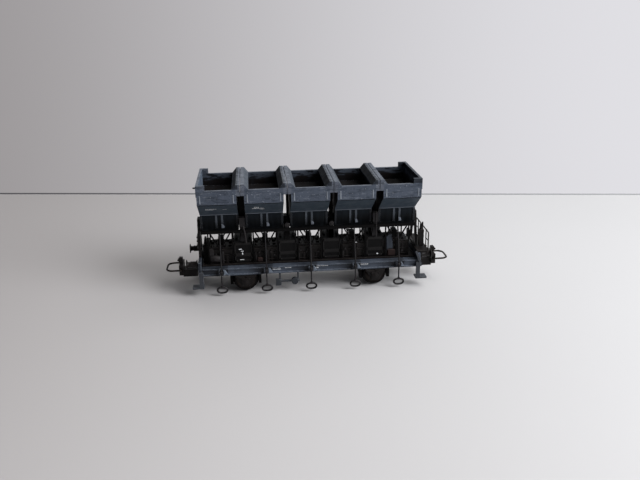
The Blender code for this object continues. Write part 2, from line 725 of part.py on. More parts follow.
def lever_mesh():
    ring_centre = (LEVER_PIVOT_Y - RING_Y, RING_Z - LEVER_PIVOT_Z)
    ring = []
    for step in range(16):
        angle = 2 * math.pi * step / 16
        across = RING_HALF_LENGTH * math.cos(angle)
        up = RING_HALF_HEIGHT * math.sin(angle)
        ring.append((across, ring_centre[0], ring_centre[1] + up))
    tip = (LEVER_PIVOT_Y - LEVER_TIP_Y, LEVER_TIP_Z - LEVER_PIVOT_Z)
    bend_z = SOLEBAR_TOP_Z - LEVER_PIVOT_Z + 0.9
    shaft = [
        (0, ring_centre[0], ring_centre[1] + RING_HALF_HEIGHT),
        (0, 0, 0),
        (0, 0.15, bend_z),
        (0, tip[0], tip[1]),
    ]
    half = LEVER_EYE_WIDTH / 2
    eye = rod((-half, 0, 0), (half, 0, 0), LEVER_EYE_RADIUS)
    mesh = piece_mesh(fuse([wire(shaft, LEVER_ROD_RADIUS), eye, wire(ring, LEVER_ROD_RADIUS, True)]))
    smooth(mesh, 50)
    return mesh


def make_levers():
    mesh = lever_mesh()
    for side in (NEAR, FAR):
        turn = 0 if side == NEAR else math.pi
        for number, x in enumerate(HOPPER_X, 1):
            name = f"lever_{SIDE_NAMES[side]}_{number}"
            place(name, mesh, LEVER_GREY, (x, side * LEVER_PIVOT_Y, LEVER_PIVOT_Z), (0, 0, turn))


# Wheelsets.


def wheel_mesh():
    """A wheel whose inner face is at z = 0, with its flange there."""
    bore = AXLE_RADIUS + FIT_GAP
    hub = bore + 1.1
    rim_in = TREAD_RADIUS - 0.9
    web = WHEEL_WIDTH - 0.8
    flange = 0.6
    profile = [
        (bore, WHEEL_WIDTH),
        (hub, WHEEL_WIDTH),
        (hub, web),
        (rim_in, web),
        (rim_in, WHEEL_WIDTH),
        (TREAD_RADIUS, WHEEL_WIDTH),
        (TREAD_RADIUS, flange),
        (FLANGE_RADIUS, flange * 0.7),
        (FLANGE_RADIUS, flange * 0.3),
        (TREAD_RADIUS, 0.0),
        (bore, 0.0),
    ]
    mesh = piece_mesh(turned(profile, closed=True))
    smooth(mesh)
    return mesh


def axle_mesh():
    shoulder = WHEEL_INNER_Y + WHEEL_WIDTH + 0.3
    half = [(0.0, AXLE_POINT_Y), (AXLE_POINT_RADIUS, AXLE_POINT_Y), (AXLE_RADIUS, shoulder)]
    profile = half + [(radius, -height) for radius, height in reversed(half)]
    mesh = piece_mesh(turned(profile, steps=16))
    smooth(mesh)
    return mesh


def make_wheelsets():
    """The turned meshes stand on Z, so they are tipped onto Y, with the profile's start straight down."""
    wheel = wheel_mesh()
    axle = axle_mesh()
    for end in (LEFT, RIGHT):
        x = end * WHEELBASE / 2
        half = math.pi / 2
        place(f"axle_{END_NAMES[end]}", axle, AXLE_STEEL, (x, 0, AXLE_Z), (half, half, 0))
        for side in (NEAR, FAR):
            name = f"wheel_{END_NAMES[end]}_{SIDE_NAMES[side]}"
            at = (x, side * WHEEL_INNER_Y, AXLE_Z)
            place(name, wheel, WHEEL_BLACK, at, (-side * half, half, 0))


def make_axle_guard(end, side):
    x = end * WHEELBASE / 2
    top = SOLEBAR_BOTTOM_Z - FIT_GAP
    foot = AXLE_Z - 2.7
    low_y, high_y = sorted((side * GUARD_INNER_Y, side * (GUARD_INNER_Y + GUARD_THICKNESS)))
    outline = [
        (x - GUARD_HALF_LENGTH, top),
        (x + GUARD_HALF_LENGTH, top),
        (x + AXLE_BOX_HALF_LENGTH, foot),
        (x - AXLE_BOX_HALF_LENGTH, foot),
    ]
    box_y = sorted((side * (GUARD_INNER_Y + GUARD_THICKNESS / 2), side * (GUARD_INNER_Y + AXLE_BOX_DEPTH)))
    spring_out = side * (GUARD_INNER_Y + GUARD_THICKNESS + 0.7)
    spring_y = sorted((side * (GUARD_INNER_Y + GUARD_THICKNESS / 2), spring_out))
    shapes = [
        plate([outline], low_y, high_y, "Y"),
        block(
            (x - AXLE_BOX_HALF_LENGTH + 0.1, box_y[0], AXLE_Z - 2.0),
            (x + AXLE_BOX_HALF_LENGTH - 0.1, box_y[1], AXLE_Z + 2.0),
        ),
        block(
            (x - GUARD_HALF_LENGTH + 0.6, spring_y[0], top - 1.0),
            (x + GUARD_HALF_LENGTH - 0.6, spring_y[1], top - 0.2),
        ),
    ]
    depth = AXLE_POINT_Y + FIT_GAP
    hole = rod(
        (x, side * (GUARD_INNER_Y - FIT_GAP), AXLE_Z), (x, side * depth, AXLE_Z), AXLE_RADIUS + FIT_GAP
    )
    body = cut(fuse(shapes), [hole])
    place(f"axle_guard_{END_NAMES[end]}_{SIDE_NAMES[side]}", piece_mesh(body), DARK_BROWN)


def make_brake_rigging(end):
    """Four brake shoes on hangers, joined by two cross beams and a pull bar over the axle."""
    x = end * WHEELBASE / 2
    shoe_in = TREAD_RADIUS + SHOE_CLEARANCE
    shoe_out = shoe_in + SHOE_THICKNESS
    hanger_top = DECK_BOTTOM_Z - FIT_GAP
    beam_z = AXLE_Z - 1.2
    shoe_y = (WHEEL_INNER_Y + 0.9, WHEEL_INNER_Y + WHEEL_WIDTH - 0.1)
    hanger_y = (WHEEL_INNER_Y - 1.3, WHEEL_INNER_Y - 0.5)
    pull_z = AXLE_Z + AXLE_RADIUS + 0.9
    middle = shoe_in + SHOE_THICKNESS / 2
    shapes = [block((x - middle, -0.7, pull_z), (x + middle, 0.7, pull_z + 0.8))]
    for way in (-1, 1):
        low, high = sorted((x + way * shoe_in, x + way * shoe_out))
        beam_low = low + 0.3
        beam_high = high - 0.3
        shapes.append(block((beam_low, -shoe_y[0], beam_z), (beam_high, shoe_y[0], beam_z + 0.8)))
        shapes.append(block((beam_low, -0.6, beam_z), (beam_high, 0.6, pull_z + 0.7)))
        for side in (NEAR, FAR):
            shoe = sorted((side * (shoe_y[0] - 0.3), side * shoe_y[1]))
            hanger = sorted((side * hanger_y[0], side * hanger_y[1]))
            shoe_foot = AXLE_Z - SHOE_HEIGHT / 2
            shapes.append(block((low, shoe[0], shoe_foot), (high, shoe[1], shoe_foot + SHOE_HEIGHT)))
            shapes.append(block((beam_low, hanger[0], beam_z), (beam_high, hanger[1], hanger_top)))
    place(f"brake_rigging_{END_NAMES[end]}", piece_mesh(fuse(shapes)), DARK_BROWN)


def make_brake_valve():
    """The valve and relay box that hang behind the near solebar, between the second and third levers."""
    top = SOLEBAR_BOTTOM_Z - FIT_GAP
    middle = (HOPPER_X[1] + HOPPER_X[2]) / 2
    half = 5.0
    out = -(SOLEBAR_Y - SOLEBAR_LIP - 0.4)
    back = out + 0.8
    bar_z = top - 4.8
    shapes = [block((middle - half, out, bar_z), (middle + half, back, bar_z + 0.8))]
    for way in (-1, 1):
        low = middle + way * (half - 0.7) - 0.4
        shapes.append(block((low, out + 0.1, bar_z + 0.2), (low + 0.8, back - 0.1, top)))
    box_low = (middle - half - 1.3, out - 0.3, bar_z - 1.6)
    shapes.append(block(box_low, (middle - half + 1.3, back + 0.4, bar_z + 1.5)))
    valve_x = middle + half - 2.2
    front = (valve_x, out - 0.4, bar_z + 0.3)
    shapes.append(rod(front, (valve_x, back + 0.6, bar_z + 0.3), 1.7))
    place("brake_valve", piece_mesh(fuse(shapes)), LEVER_GREY)


# Ends.


def buffer_mesh():
    """A buffer that stands on z = 0, with its flat head at the top."""
    flange = BUFFER_SLEEVE_RADIUS + 0.3
    head = 0.8
    profile = [
        (0.0, BUFFER_LENGTH),
        (BUFFER_HEAD_RADIUS, BUFFER_LENGTH),
        (BUFFER_HEAD_RADIUS, BUFFER_LENGTH - head),
        (BUFFER_SLEEVE_RADIUS, BUFFER_LENGTH - head - 0.4),
        (BUFFER_SLEEVE_RADIUS, 0.6),
        (flange, 0.6),
        (flange, 0.0),
        (0.0, 0.0),
    ]
    mesh = piece_mesh(turned(profile, steps=20))
    smooth(mesh)
    return mesh


def make_buffers():
    mesh = buffer_mesh()
    for end in (LEFT, RIGHT):
        for side in (NEAR, FAR):
            x = end * (HEADSTOCK_FACE_X + FIT_GAP)
            name = f"buffer_{END_NAMES[end]}_{SIDE_NAMES[side]}"
            place(name, mesh, DARK_BROWN, (x, side * BUFFER_Y, BUFFER_Z), (0, end * math.pi / 2, 0))


# The couplers' meshes point along +X, and their origins are on their hinges.

COUPLER_PIVOT_X = HEADSTOCK_X - COUPLER_PIVOT_INSET
BAIL_X = COUPLER_HEAD_X - COUPLER_HEAD_LENGTH / 2
BAIL_Z = COUPLER_TOP_Z + 0.6


def coupler_mesh():
    foot = -COUPLER_SHANK_HEIGHT
    hole_radius = COUPLER_PIN_RADIUS + HINGE_GAP
    eye_radius = hole_radius + 0.9
    head_x = COUPLER_HEAD_X - COUPLER_PIVOT_X
    back_x = head_x - COUPLER_HEAD_LENGTH
    head_top = BAIL_Z - COUPLER_TOP_Z + COUPLER_HEAD_HEIGHT / 2 - 0.4
    pocket_low = HEADSTOCK_FACE_X - COUPLER_PIVOT_X + 1.2
    shank = block((0, -COUPLER_SHANK_HALF_WIDTH, foot), (back_x + 0.5, COUPLER_SHANK_HALF_WIDTH, 0))
    eye = rod((0, 0, foot), (0, 0, 0), eye_radius, 20)
    pocket = block((pocket_low, -2.6, foot - 2.0), (back_x + 0.4, 2.6, -0.1))
    head = block(
        (back_x, -COUPLER_HEAD_HALF_WIDTH, head_top - COUPLER_HEAD_HEIGHT),
        (head_x, COUPLER_HEAD_HALF_WIDTH, head_top),
    )
    hook = [
        (back_x + 0.1, head_top - 0.3),
        (back_x + 0.4, head_top + 2.7),
        (back_x + 1.9, head_top + 2.9),
        (head_x + 1.0, head_top + 1.4),
        (head_x + 0.3, head_top + 1.0),
        (head_x - 0.1, head_top - 0.3),
    ]
    body = fuse([shank, eye, pocket, head, plate([hook], -1.0, 1.0, "Y")])
    bail_x = BAIL_X - COUPLER_PIVOT_X
    bail_z = BAIL_Z - COUPLER_TOP_Z
    cutters = [rod((0, 0, foot - 0.2), (0, 0, 0.2), hole_radius, 16)]
    for side in (NEAR, FAR):
        outside = (bail_x, side * (COUPLER_HEAD_HALF_WIDTH + 0.2), bail_z)
        inside = (bail_x, side * (COUPLER_HEAD_HALF_WIDTH - 0.9), bail_z)
        cutters.append(rod(outside, inside, BAIL_RADIUS + HINGE_GAP))
    return piece_mesh(cut(body, cutters))


def bail_mesh():
    """The wire loop, with its bent-in ends on the hinge line through the origin."""
    tip_y = COUPLER_HEAD_HALF_WIDTH - 0.4
    arm_y = COUPLER_HEAD_HALF_WIDTH + BAIL_RADIUS + 0.45
    reach = BAIL_REACH
    half = [
        (0.0, tip_y),
        (0.0, arm_y),
        (reach - 1.7, arm_y),
        (reach - 0.5, arm_y - 0.9),
        (reach, arm_y - 2.6),
    ]
    points = [(x, y, 0.0) for x, y in half]
    points += [(x, -y, 0.0) for x, y in reversed(half)]
    mesh = piece_mesh(wire(points, BAIL_RADIUS))
    smooth(mesh, 50)
    return mesh


def make_couplers():
    coupler = coupler_mesh()
    bail = bail_mesh()
    for end in (LEFT, RIGHT):
        turn = (0, 0, 0 if end == RIGHT else math.pi)
        name = END_NAMES[end]
        place(f"coupler_{name}", coupler, DARK_BROWN, (end * COUPLER_PIVOT_X, 0, COUPLER_TOP_Z), turn)
        place(f"coupler_loop_{name}", bail, BLACKENED_WIRE, (end * BAIL_X, 0, BAIL_Z), turn)


def make_step(end, side):
    """A corner step on a strap. At the platform the strap also carries a slanting grab bar."""
    in_y = HEADSTOCK_HALF_WIDTH + FIT_GAP
    out_y = in_y + STEP_THICKNESS
    middle_y = side * (in_y + out_y) / 2
    strap_x = sorted((end * (FRAME_X - 0.5), end * (FRAME_X - 0.5 + STEP_WIDTH)))
    strap_y = sorted((side * in_y, side * out_y))
    tread_x = sorted((end * (FRAME_X - 0.5), end * (FRAME_X - 0.5 + STEP_WIDTH + STEP_REACH)))
    tread_y = sorted((side * (out_y - 0.1), side * (out_y - STEP_DEPTH)))
    strap_top = SOLEBAR_BOTTOM_Z + SOLEBAR_HEIGHT * 0.7
    shapes = [
        block((tread_x[0], tread_y[0], STEP_Z), (tread_x[1], tread_y[1], STEP_Z + 0.8)),
        block((strap_x[0], strap_y[0], STEP_Z + 0.2), (strap_x[1], strap_y[1], strap_top)),
    ]
    if end == RIGHT:
        low = (end * (HEADSTOCK_FACE_X + 0.5), middle_y, strap_top - 1.6)
        high = (end * (FRAME_X - 0.7), middle_y, PLATFORM_TOP_Z)
        foot = (end * (HEADSTOCK_X - 0.4), middle_y, strap_top - 0.9)
        thin = STEP_THICKNESS - 0.1
        shapes.append(bar(low, high, 0.9, thin))
        shapes.append(bar(foot, low, 0.9, thin - 0.1))
    place(f"step_{END_NAMES[end]}_{SIDE_NAMES[side]}", piece_mesh(fuse(shapes)), FRAME_GREY)


def make_platform():
    half_width = HEADSTOCK_HALF_WIDTH - 0.6
    floor = block((FRAME_X, -half_width, PLATFORM_BOTTOM_Z), (PLATFORM_END_X, half_width, PLATFORM_TOP_Z))
    place("platform", piece_mesh(floor), DARK_BROWN)
    foot = PLATFORM_TOP_Z + FIT_GAP
    top = foot + RAILING_HEIGHT
    x = PLATFORM_END_X - 0.5
    y = half_width - RAILING_RADIUS
    corner = 0.6
    half = [(x, y, foot), (x, y, top - corner), (x, y - corner, top)]
    frame = wire(half + [(x, -y, z) for x, y, z in reversed(half)], RAILING_RADIUS)
    posts = [rod((x, at, foot), (x, at, top), RAILING_RADIUS * 0.9, 8)
             for at in (-RAILING_INNER_POST_Y, RAILING_INNER_POST_Y)]
    mesh = piece_mesh(fuse([frame] + posts))
    smooth(mesh, 50)
    place("railing", mesh, BLACKENED_WIRE)


STAND_X = (ROW_HALF_LENGTH + PLATFORM_END_X - 0.8) / 2
STAND_Y = -6.2


def make_handbrake():
    foot = PLATFORM_TOP_Z + FIT_GAP
    top = foot + STAND_HEIGHT
    half = STAND_SIZE / 2
    stand = fuse([
        block((STAND_X - half, STAND_Y - half, foot), (STAND_X + half, STAND_Y + half, top - 1.5)),
        rod((STAND_X, STAND_Y, top - 2.0), (STAND_X, STAND_Y, top), half * 0.8),
    ])
    place("handbrake_stand", piece_mesh(stand), DARK_BROWN)
    hub = rod((0, 0, 0), (0, 0, 0.9), 0.8)
    arm = block((-0.35, -CRANK_ARM, 0.2), (0.35, 0, 0.8))
    handle = rod((0, -CRANK_ARM, 0.2), (0, -CRANK_ARM, 2.4), 0.4)
    crank = piece_mesh(fuse([hub, arm, handle]))
    place("handbrake_crank", crank, DARK_BROWN, (STAND_X, STAND_Y, top + HINGE_GAP))


def main():
    make_hoppers()
    make_headstocks()
    make_deck()
    for number, x in enumerate(DIVIDER_X, 1):
        make_inner_trestle(number, x)
    make_levers()
    make_wheelsets()
    for end in (LEFT, RIGHT):
        make_end_trestle(end)
        make_brake_rigging(end)
        for side in (NEAR, FAR):
            make_axle_guard(end, side)
            make_step(end, side)
    for side in (NEAR, FAR):
        make_solebar(side)
        make_bracing(side)
    make_brake_valve()
    make_buffers()
    make_couplers()
    make_platform()
    make_handbrake()


main()
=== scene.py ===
# %% [markdown]
# # A model wagon with five tipping hoppers
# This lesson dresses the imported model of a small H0 wagon, so that it looks like the worn, blue-grey
# plastic toy that it is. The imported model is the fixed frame: it says where each piece is. We measure
# it, make softer and more detailed pieces around it, and give every piece a finish made of nodes.

# %% Load the frame
import json
import math

import bmesh
import bpy
import numpy as np
from mathutils import Matrix, Vector

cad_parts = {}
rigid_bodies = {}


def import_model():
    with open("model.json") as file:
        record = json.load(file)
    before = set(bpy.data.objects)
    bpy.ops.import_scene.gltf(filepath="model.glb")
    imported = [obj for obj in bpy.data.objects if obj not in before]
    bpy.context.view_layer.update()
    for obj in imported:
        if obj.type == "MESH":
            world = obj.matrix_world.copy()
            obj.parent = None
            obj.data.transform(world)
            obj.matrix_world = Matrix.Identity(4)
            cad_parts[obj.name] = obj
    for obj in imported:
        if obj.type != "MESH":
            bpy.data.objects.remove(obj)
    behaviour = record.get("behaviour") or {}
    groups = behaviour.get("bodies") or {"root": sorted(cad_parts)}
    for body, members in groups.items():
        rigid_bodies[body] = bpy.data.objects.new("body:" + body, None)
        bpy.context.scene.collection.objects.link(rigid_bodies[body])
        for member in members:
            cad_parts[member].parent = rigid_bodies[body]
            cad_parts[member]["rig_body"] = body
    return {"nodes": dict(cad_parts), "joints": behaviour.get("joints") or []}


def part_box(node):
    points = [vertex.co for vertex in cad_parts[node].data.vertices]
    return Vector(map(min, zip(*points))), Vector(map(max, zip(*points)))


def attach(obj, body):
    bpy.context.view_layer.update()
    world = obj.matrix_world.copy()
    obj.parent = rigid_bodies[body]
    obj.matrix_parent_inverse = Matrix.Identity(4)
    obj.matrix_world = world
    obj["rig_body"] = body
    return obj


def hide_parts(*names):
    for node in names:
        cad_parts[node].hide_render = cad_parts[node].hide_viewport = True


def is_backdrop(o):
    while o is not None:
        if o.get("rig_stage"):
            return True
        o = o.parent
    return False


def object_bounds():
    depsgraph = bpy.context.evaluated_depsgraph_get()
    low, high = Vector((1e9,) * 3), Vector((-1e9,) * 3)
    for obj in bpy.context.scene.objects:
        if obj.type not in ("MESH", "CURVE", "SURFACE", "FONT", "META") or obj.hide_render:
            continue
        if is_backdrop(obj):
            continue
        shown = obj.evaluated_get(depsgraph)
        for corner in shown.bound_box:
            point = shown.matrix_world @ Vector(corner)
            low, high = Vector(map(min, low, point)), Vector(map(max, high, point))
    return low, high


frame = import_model()
cad_box = [list(corner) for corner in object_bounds()]
print("size in mm", [round(1000 * (b - a), 1) for a, b in zip(*cad_box)])

# %% [markdown]
# ## Millimetres
# The wagon is 137 mm long, and Blender's own unit is the metre. We write all sizes in millimetres and
# turn them into metres in one place, when a piece is finished. The places below come from the boxes of
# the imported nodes, so that a new piece always sits on the model, even after its sizes change.

# %% Places, in millimetres
MM = 0.001


def box(node):
    """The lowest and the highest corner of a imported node, in millimetres."""
    low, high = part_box(node)
    return np.array(low) / MM, np.array(high) / MM


HOPPERS = [f"hopper_{n}" for n in range(1, 6)]
HOPPER_X = [float(frame["joints"][n]["pos_m"][0]) / MM for n in range(5)]
PITCH = HOPPER_X[1] - HOPPER_X[0]
DIVIDER_X = [x + PITCH / 2 for x in HOPPER_X[:-1]]
RIM_Y = float(box("hopper_3")[1][1])
HOOD_TOP = float(box("hopper_3")[1][2])
RIM_Z = HOOD_TOP - 2.4  # the hood is a ridge that stands on the rim
BAND_FOOT = RIM_Z - 6.4  # below it the side slopes inwards
CREASE_Y, CREASE_Z = 5.9, 37.7  # the fold between the sloping panel and the casing
CASING_Y, CASING_Z = 5.3, 30.8  # the foot of the casing
HOPPER_HALF = 8.8  # half of a hopper's length
BED_TOP = float(box("deck")[1][2])  # the beds are the highest part of the deck
FLOOR = 13.8  # the floor between the beds
SOLEBAR_Y = 12.9  # the outer edge of the long beams
WHEEL_Y = 7.2  # the inner face of a wheel
AXLE_X = [float(box(f"axle_{end}")[0][0] + box(f"axle_{end}")[1][0]) / 2 for end in ("left", "right")]
AXLE_Z = float(box("axle_left")[0][2] + box("axle_left")[1][2]) / 2
NEAR, FAR = -1, 1
SIDES = {"near": NEAR, "far": FAR}
ENDS = {"left": -1, "right": 1}
print("hoppers at", HOPPER_X, "rim", RIM_Z, "axles", AXLE_X, round(AXLE_Z, 2))

# %% [markdown]
# ## Surfaces from numbers
# Every new piece is a surface worked out with numpy. A grid of points is made as one array, and a
# matching array of faces joins them. Three kinds are enough here: a tube along a path, a turned shape,
# and a slab cut from an outline. Each returns (points, faces), and several can be joined into one piece.


# %% Grids of faces
def grid_faces(rows, columns, first=0):
    """Quads between loops: point (i, j) joins (i, j+1), (i+1, j+1), (i+1, j), and j wraps round."""
    i, j = np.meshgrid(np.arange(rows - 1), np.arange(columns), indexing="ij")
    k = (j + 1) % columns
    quads = np.stack([i * columns + j, i * columns + k, (i + 1) * columns + k, (i + 1) * columns + j], -1)
    return (quads.reshape(-1, 4) + first).tolist()


def closed_loops(loops):
    """A closed skin over loops of points, with a flat cap on the first and the last loop."""
    rows, columns, _ = loops.shape
    faces = grid_faces(rows, columns)
    faces.append(list(range(columns))[::-1])
    faces.append(list(range((rows - 1) * columns, rows * columns)))
    return loops.reshape(-1, 3), faces


# %% [markdown]
# The tube carries a circle along a path. At each point the circle lies across the path's direction,
# and its two axes are carried along from point to point, so that the tube doesn't twist.


# %% Tubes
def directions(path, closed):
    """Unit vectors along the path: the mean of the steps before and after each point."""
    ahead = np.roll(path, -1, 0) - path
    behind = path - np.roll(path, 1, 0)
    if not closed:
        ahead[-1] = behind[-1]
        behind[0] = ahead[0]
    along = ahead / np.linalg.norm(ahead, axis=1)[:, None] + behind / np.linalg.norm(
        behind, axis=1,
    )[:, None]
    return along / np.linalg.norm(along, axis=1)[:, None]


def tube(path, radius, sides=10, closed=False, across=(0.03, 1.0, 0.02)):
    """point(i, a) = path(i) + radius(i) * (cos a * u(i) + sin a * v(i)); u and v lie across the path."""
    path = np.asarray(path, float)
    along = directions(path, closed)
    radii = np.broadcast_to(np.asarray(radius, float), (len(path),))
    first = np.cross(along, np.asarray(across, float))
    u = first / np.linalg.norm(first, axis=1)[:, None]
    v = np.cross(along, u)
    angle = np.linspace(0, 2 * np.pi, sides, endpoint=False)
    ring = np.cos(angle)[None, :, None] * u[:, None] + np.sin(angle)[None, :, None] * v[:, None]
    loops = path[:, None] + radii[:, None, None] * ring
    if closed:
        loops = np.concatenate([loops, loops[:1]])
        points, faces = closed_loops(loops)
        count = len(path) * sides
        wrapped = [[p % count for p in face] for face in faces[:-2]]
        return points[:count], wrapped
    return closed_loops(loops)


def bent(points, radius=1.0, steps=5):
    """The path through the points, each corner rounded by a quadratic curve that starts radius before it."""
    points = np.asarray(points, float)
    result = [points[:1]]
    share = np.linspace(0, 1, steps)[:, None]
    for before, corner, after in zip(points[:-2], points[1:-1], points[2:]):
        back, on = before - corner, after - corner
        reach = min(radius, np.linalg.norm(back) * 0.49, np.linalg.norm(on) * 0.49)
        start = corner + back / np.linalg.norm(back) * reach
        end = corner + on / np.linalg.norm(on) * reach
        result.append((1 - share) ** 2 * start + 2 * share * (1 - share) * corner + share**2 * end)
    result.append(points[-1:])
    return np.concatenate(result)


# %% [markdown]
# A turned shape is a profile carried round an axis, as on a lathe. A slab is an outline carried
# straight along an axis. Its first and last loops are drawn in a little, which gives it the small
# chamfer that every moulded or etched edge has and that catches the light.

# %% Turned shapes and slabs
# For each axis: the places of u, v and w in (x, y, z).
AXES = {"X": (1, 2, 0), "Y": (2, 0, 1), "Z": (0, 1, 2)}


def on_axis(u, v, w, axis):
    """Puts arrays of (u, v) across an axis and w along it into x, y, z order."""
    points = np.empty(np.broadcast(u, v, w).shape + (3,))
    for place, values in zip(AXES[axis], (u, v, w)):
        points[..., place] = values
    return points


def turned(profile, centre, axis="Z", steps=32):
    """point(i, a) = centre + radius(i) * (cos a, sin a) across the axis, at height(i) along it."""
    radius, height = np.asarray(profile, float).T
    angle = np.linspace(0, 2 * np.pi, steps, endpoint=False)
    loops = on_axis(radius[:, None] * np.cos(angle), radius[:, None] * np.sin(angle), height[:, None], axis)
    if height[-1] < height[0]:
        loops = loops[::-1]
    return closed_loops(loops + np.asarray(centre, float))


def signed_area(outline):
    """Half the sum of x(i) * y(i+1) - x(i+1) * y(i): positive where the outline runs anticlockwise."""
    x, y = outline.T
    return 0.5 * np.sum(x * np.roll(y, -1) - y * np.roll(x, -1))


def drawn_in(outline, amount):
    """Each corner moves along the mean of its two edge normals, so that both edges move in by amount."""
    ahead = np.roll(outline, -1, 0) - outline
    ahead /= np.linalg.norm(ahead, axis=1)[:, None]
    normal = np.stack([-ahead[:, 1], ahead[:, 0]], 1)
    before = np.roll(normal, 1, 0)
    share = np.maximum(1 + np.sum(normal * before, axis=1), 0.35)
    return outline + amount * (normal + before) / share[:, None]


def slab(outline, low, high, axis, edge=0.12):
    """The outline, drawn in by edge at w = low and high, at full size from low + edge to high - edge."""
    outline = np.asarray(outline, float)
    if signed_area(outline) < 0:
        outline = outline[::-1]
    edge = min(edge, (high - low) * 0.45)
    inner = drawn_in(outline, edge)
    rows = [(inner, low), (outline, low + edge), (outline, high - edge), (inner, high)]
    loops = np.stack([on_axis(o[:, 0], o[:, 1], np.full(len(o), w), axis) for o, w in rows])
    return closed_loops(loops)


def cuboid(low, high, edge=0.12, corner=0.0):
    """A slab along Z from a rectangle with chamfered corners."""
    (x0, y0, z0), (x1, y1, z1) = low, high
    c = min(corner or edge, (x1 - x0) * 0.4, (y1 - y0) * 0.4)
    outline = [
        (x0 + c, y0), (x1 - c, y0), (x1, y0 + c), (x1, y1 - c),
        (x1 - c, y1), (x0 + c, y1), (x0, y1 - c), (x0, y0 + c),
    ]
    return slab(outline, z0, z1, "Z", edge)


def joined(shapes):
    """Several (points, faces) as one, with the face numbers moved on."""
    points, faces, first = [], [], 0
    for p, f in shapes:
        points.append(p)
        faces += [[i + first for i in face] for face in f]
        first += len(p)
    return np.concatenate(points), faces


def between(way, inner, outer):
    """The lower and the higher y of a part that lies between inner and outer on one side of the wagon."""
    return sorted((way * inner, way * outer))


print("a slab has", len(cuboid((0, 0, 0), (1, 1, 1))[1]), "faces")

# %% [markdown]
# ## Pieces
# A piece is one mesh object at the origin, with its place in its points, and it rides on one body of
# the frame. Shading is smooth, except across edges sharper than 40 degrees.

# %% Making a piece
PIECES = {}


def piece(name, shapes, material, body="frame", replaces=(), smooth=40):
    """One mesh object from several shapes in millimetres, riding on a body of the frame."""
    points, faces = joined(shapes)
    mesh = bpy.data.meshes.new(name)
    mesh.from_pydata((points * MM).tolist(), [], faces)
    mesh.validate()
    mesh.shade_smooth()
    mesh.set_sharp_from_angle(angle=math.radians(smooth))
    mesh.materials.append(material)
    made = bpy.data.objects.new(name, mesh)
    bpy.context.scene.collection.objects.link(made)
    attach(made, body)
    if replaces:
        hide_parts(*replaces)
    PIECES[name] = len(faces)
    return made


# %% [markdown]
# ## Softened copies of the imported pieces
# A imported piece has razor-sharp edges, and no moulded part has. Where its shape is right, we take a
# copy, merge its loose triangles, and bevel every edge sharper than 30 degrees. The bevel's own faces
# are marked in an attribute called edge, so that a material can wear the paint there and paint a
# highlight where the edge catches the light. Weighted normals keep the flat faces looking flat.

# %% Softened copies
SHARP = math.radians(30)


def softened(node, material, width=0.12, segments=2, paint=None):
    """A bevelled copy of a CAD node, worked on in millimetres, that stands for the node."""
    source = frame["nodes"][node]
    shape = bmesh.new()
    shape.from_mesh(source.data)
    bmesh.ops.transform(shape, matrix=Matrix.Scale(1 / MM, 4), verts=shape.verts)
    bmesh.ops.remove_doubles(shape, verts=shape.verts, dist=0.002)
    bmesh.ops.dissolve_limit(shape, angle_limit=math.radians(1), verts=shape.verts, edges=shape.edges)
    keen = [e for e in shape.edges if e.is_manifold and e.calc_face_angle(0.0) > SHARP]
    made = bmesh.ops.bevel(
        shape, geom=keen, offset=width, offset_type="OFFSET", segments=segments, profile=0.5,
        affect="EDGES", clamp_overlap=True,
    )
    edge = shape.loops.layers.float.new("edge")
    for face in made["faces"]:
        for corner in face.loops:
            corner[edge] = 1.0
    bmesh.ops.triangulate(shape, faces=[f for f in shape.faces if len(f.verts) > 4])
    if paint:
        paint(shape)
    bmesh.ops.transform(shape, matrix=Matrix.Scale(MM, 4), verts=shape.verts)
    mesh = bpy.data.meshes.new(node + "_soft")
    shape.to_mesh(mesh)
    shape.free()
    mesh.shade_smooth()
    mesh.materials.append(material)
    copy = bpy.data.objects.new(node + "_soft", mesh)
    bpy.context.scene.collection.objects.link(copy)
    weighted = copy.modifiers.new("flat faces first", "WEIGHTED_NORMAL")
    weighted.weight = 80
    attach(copy, source["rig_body"])
    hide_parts(node)
    PIECES[copy.name] = len(mesh.polygons)
    return copy
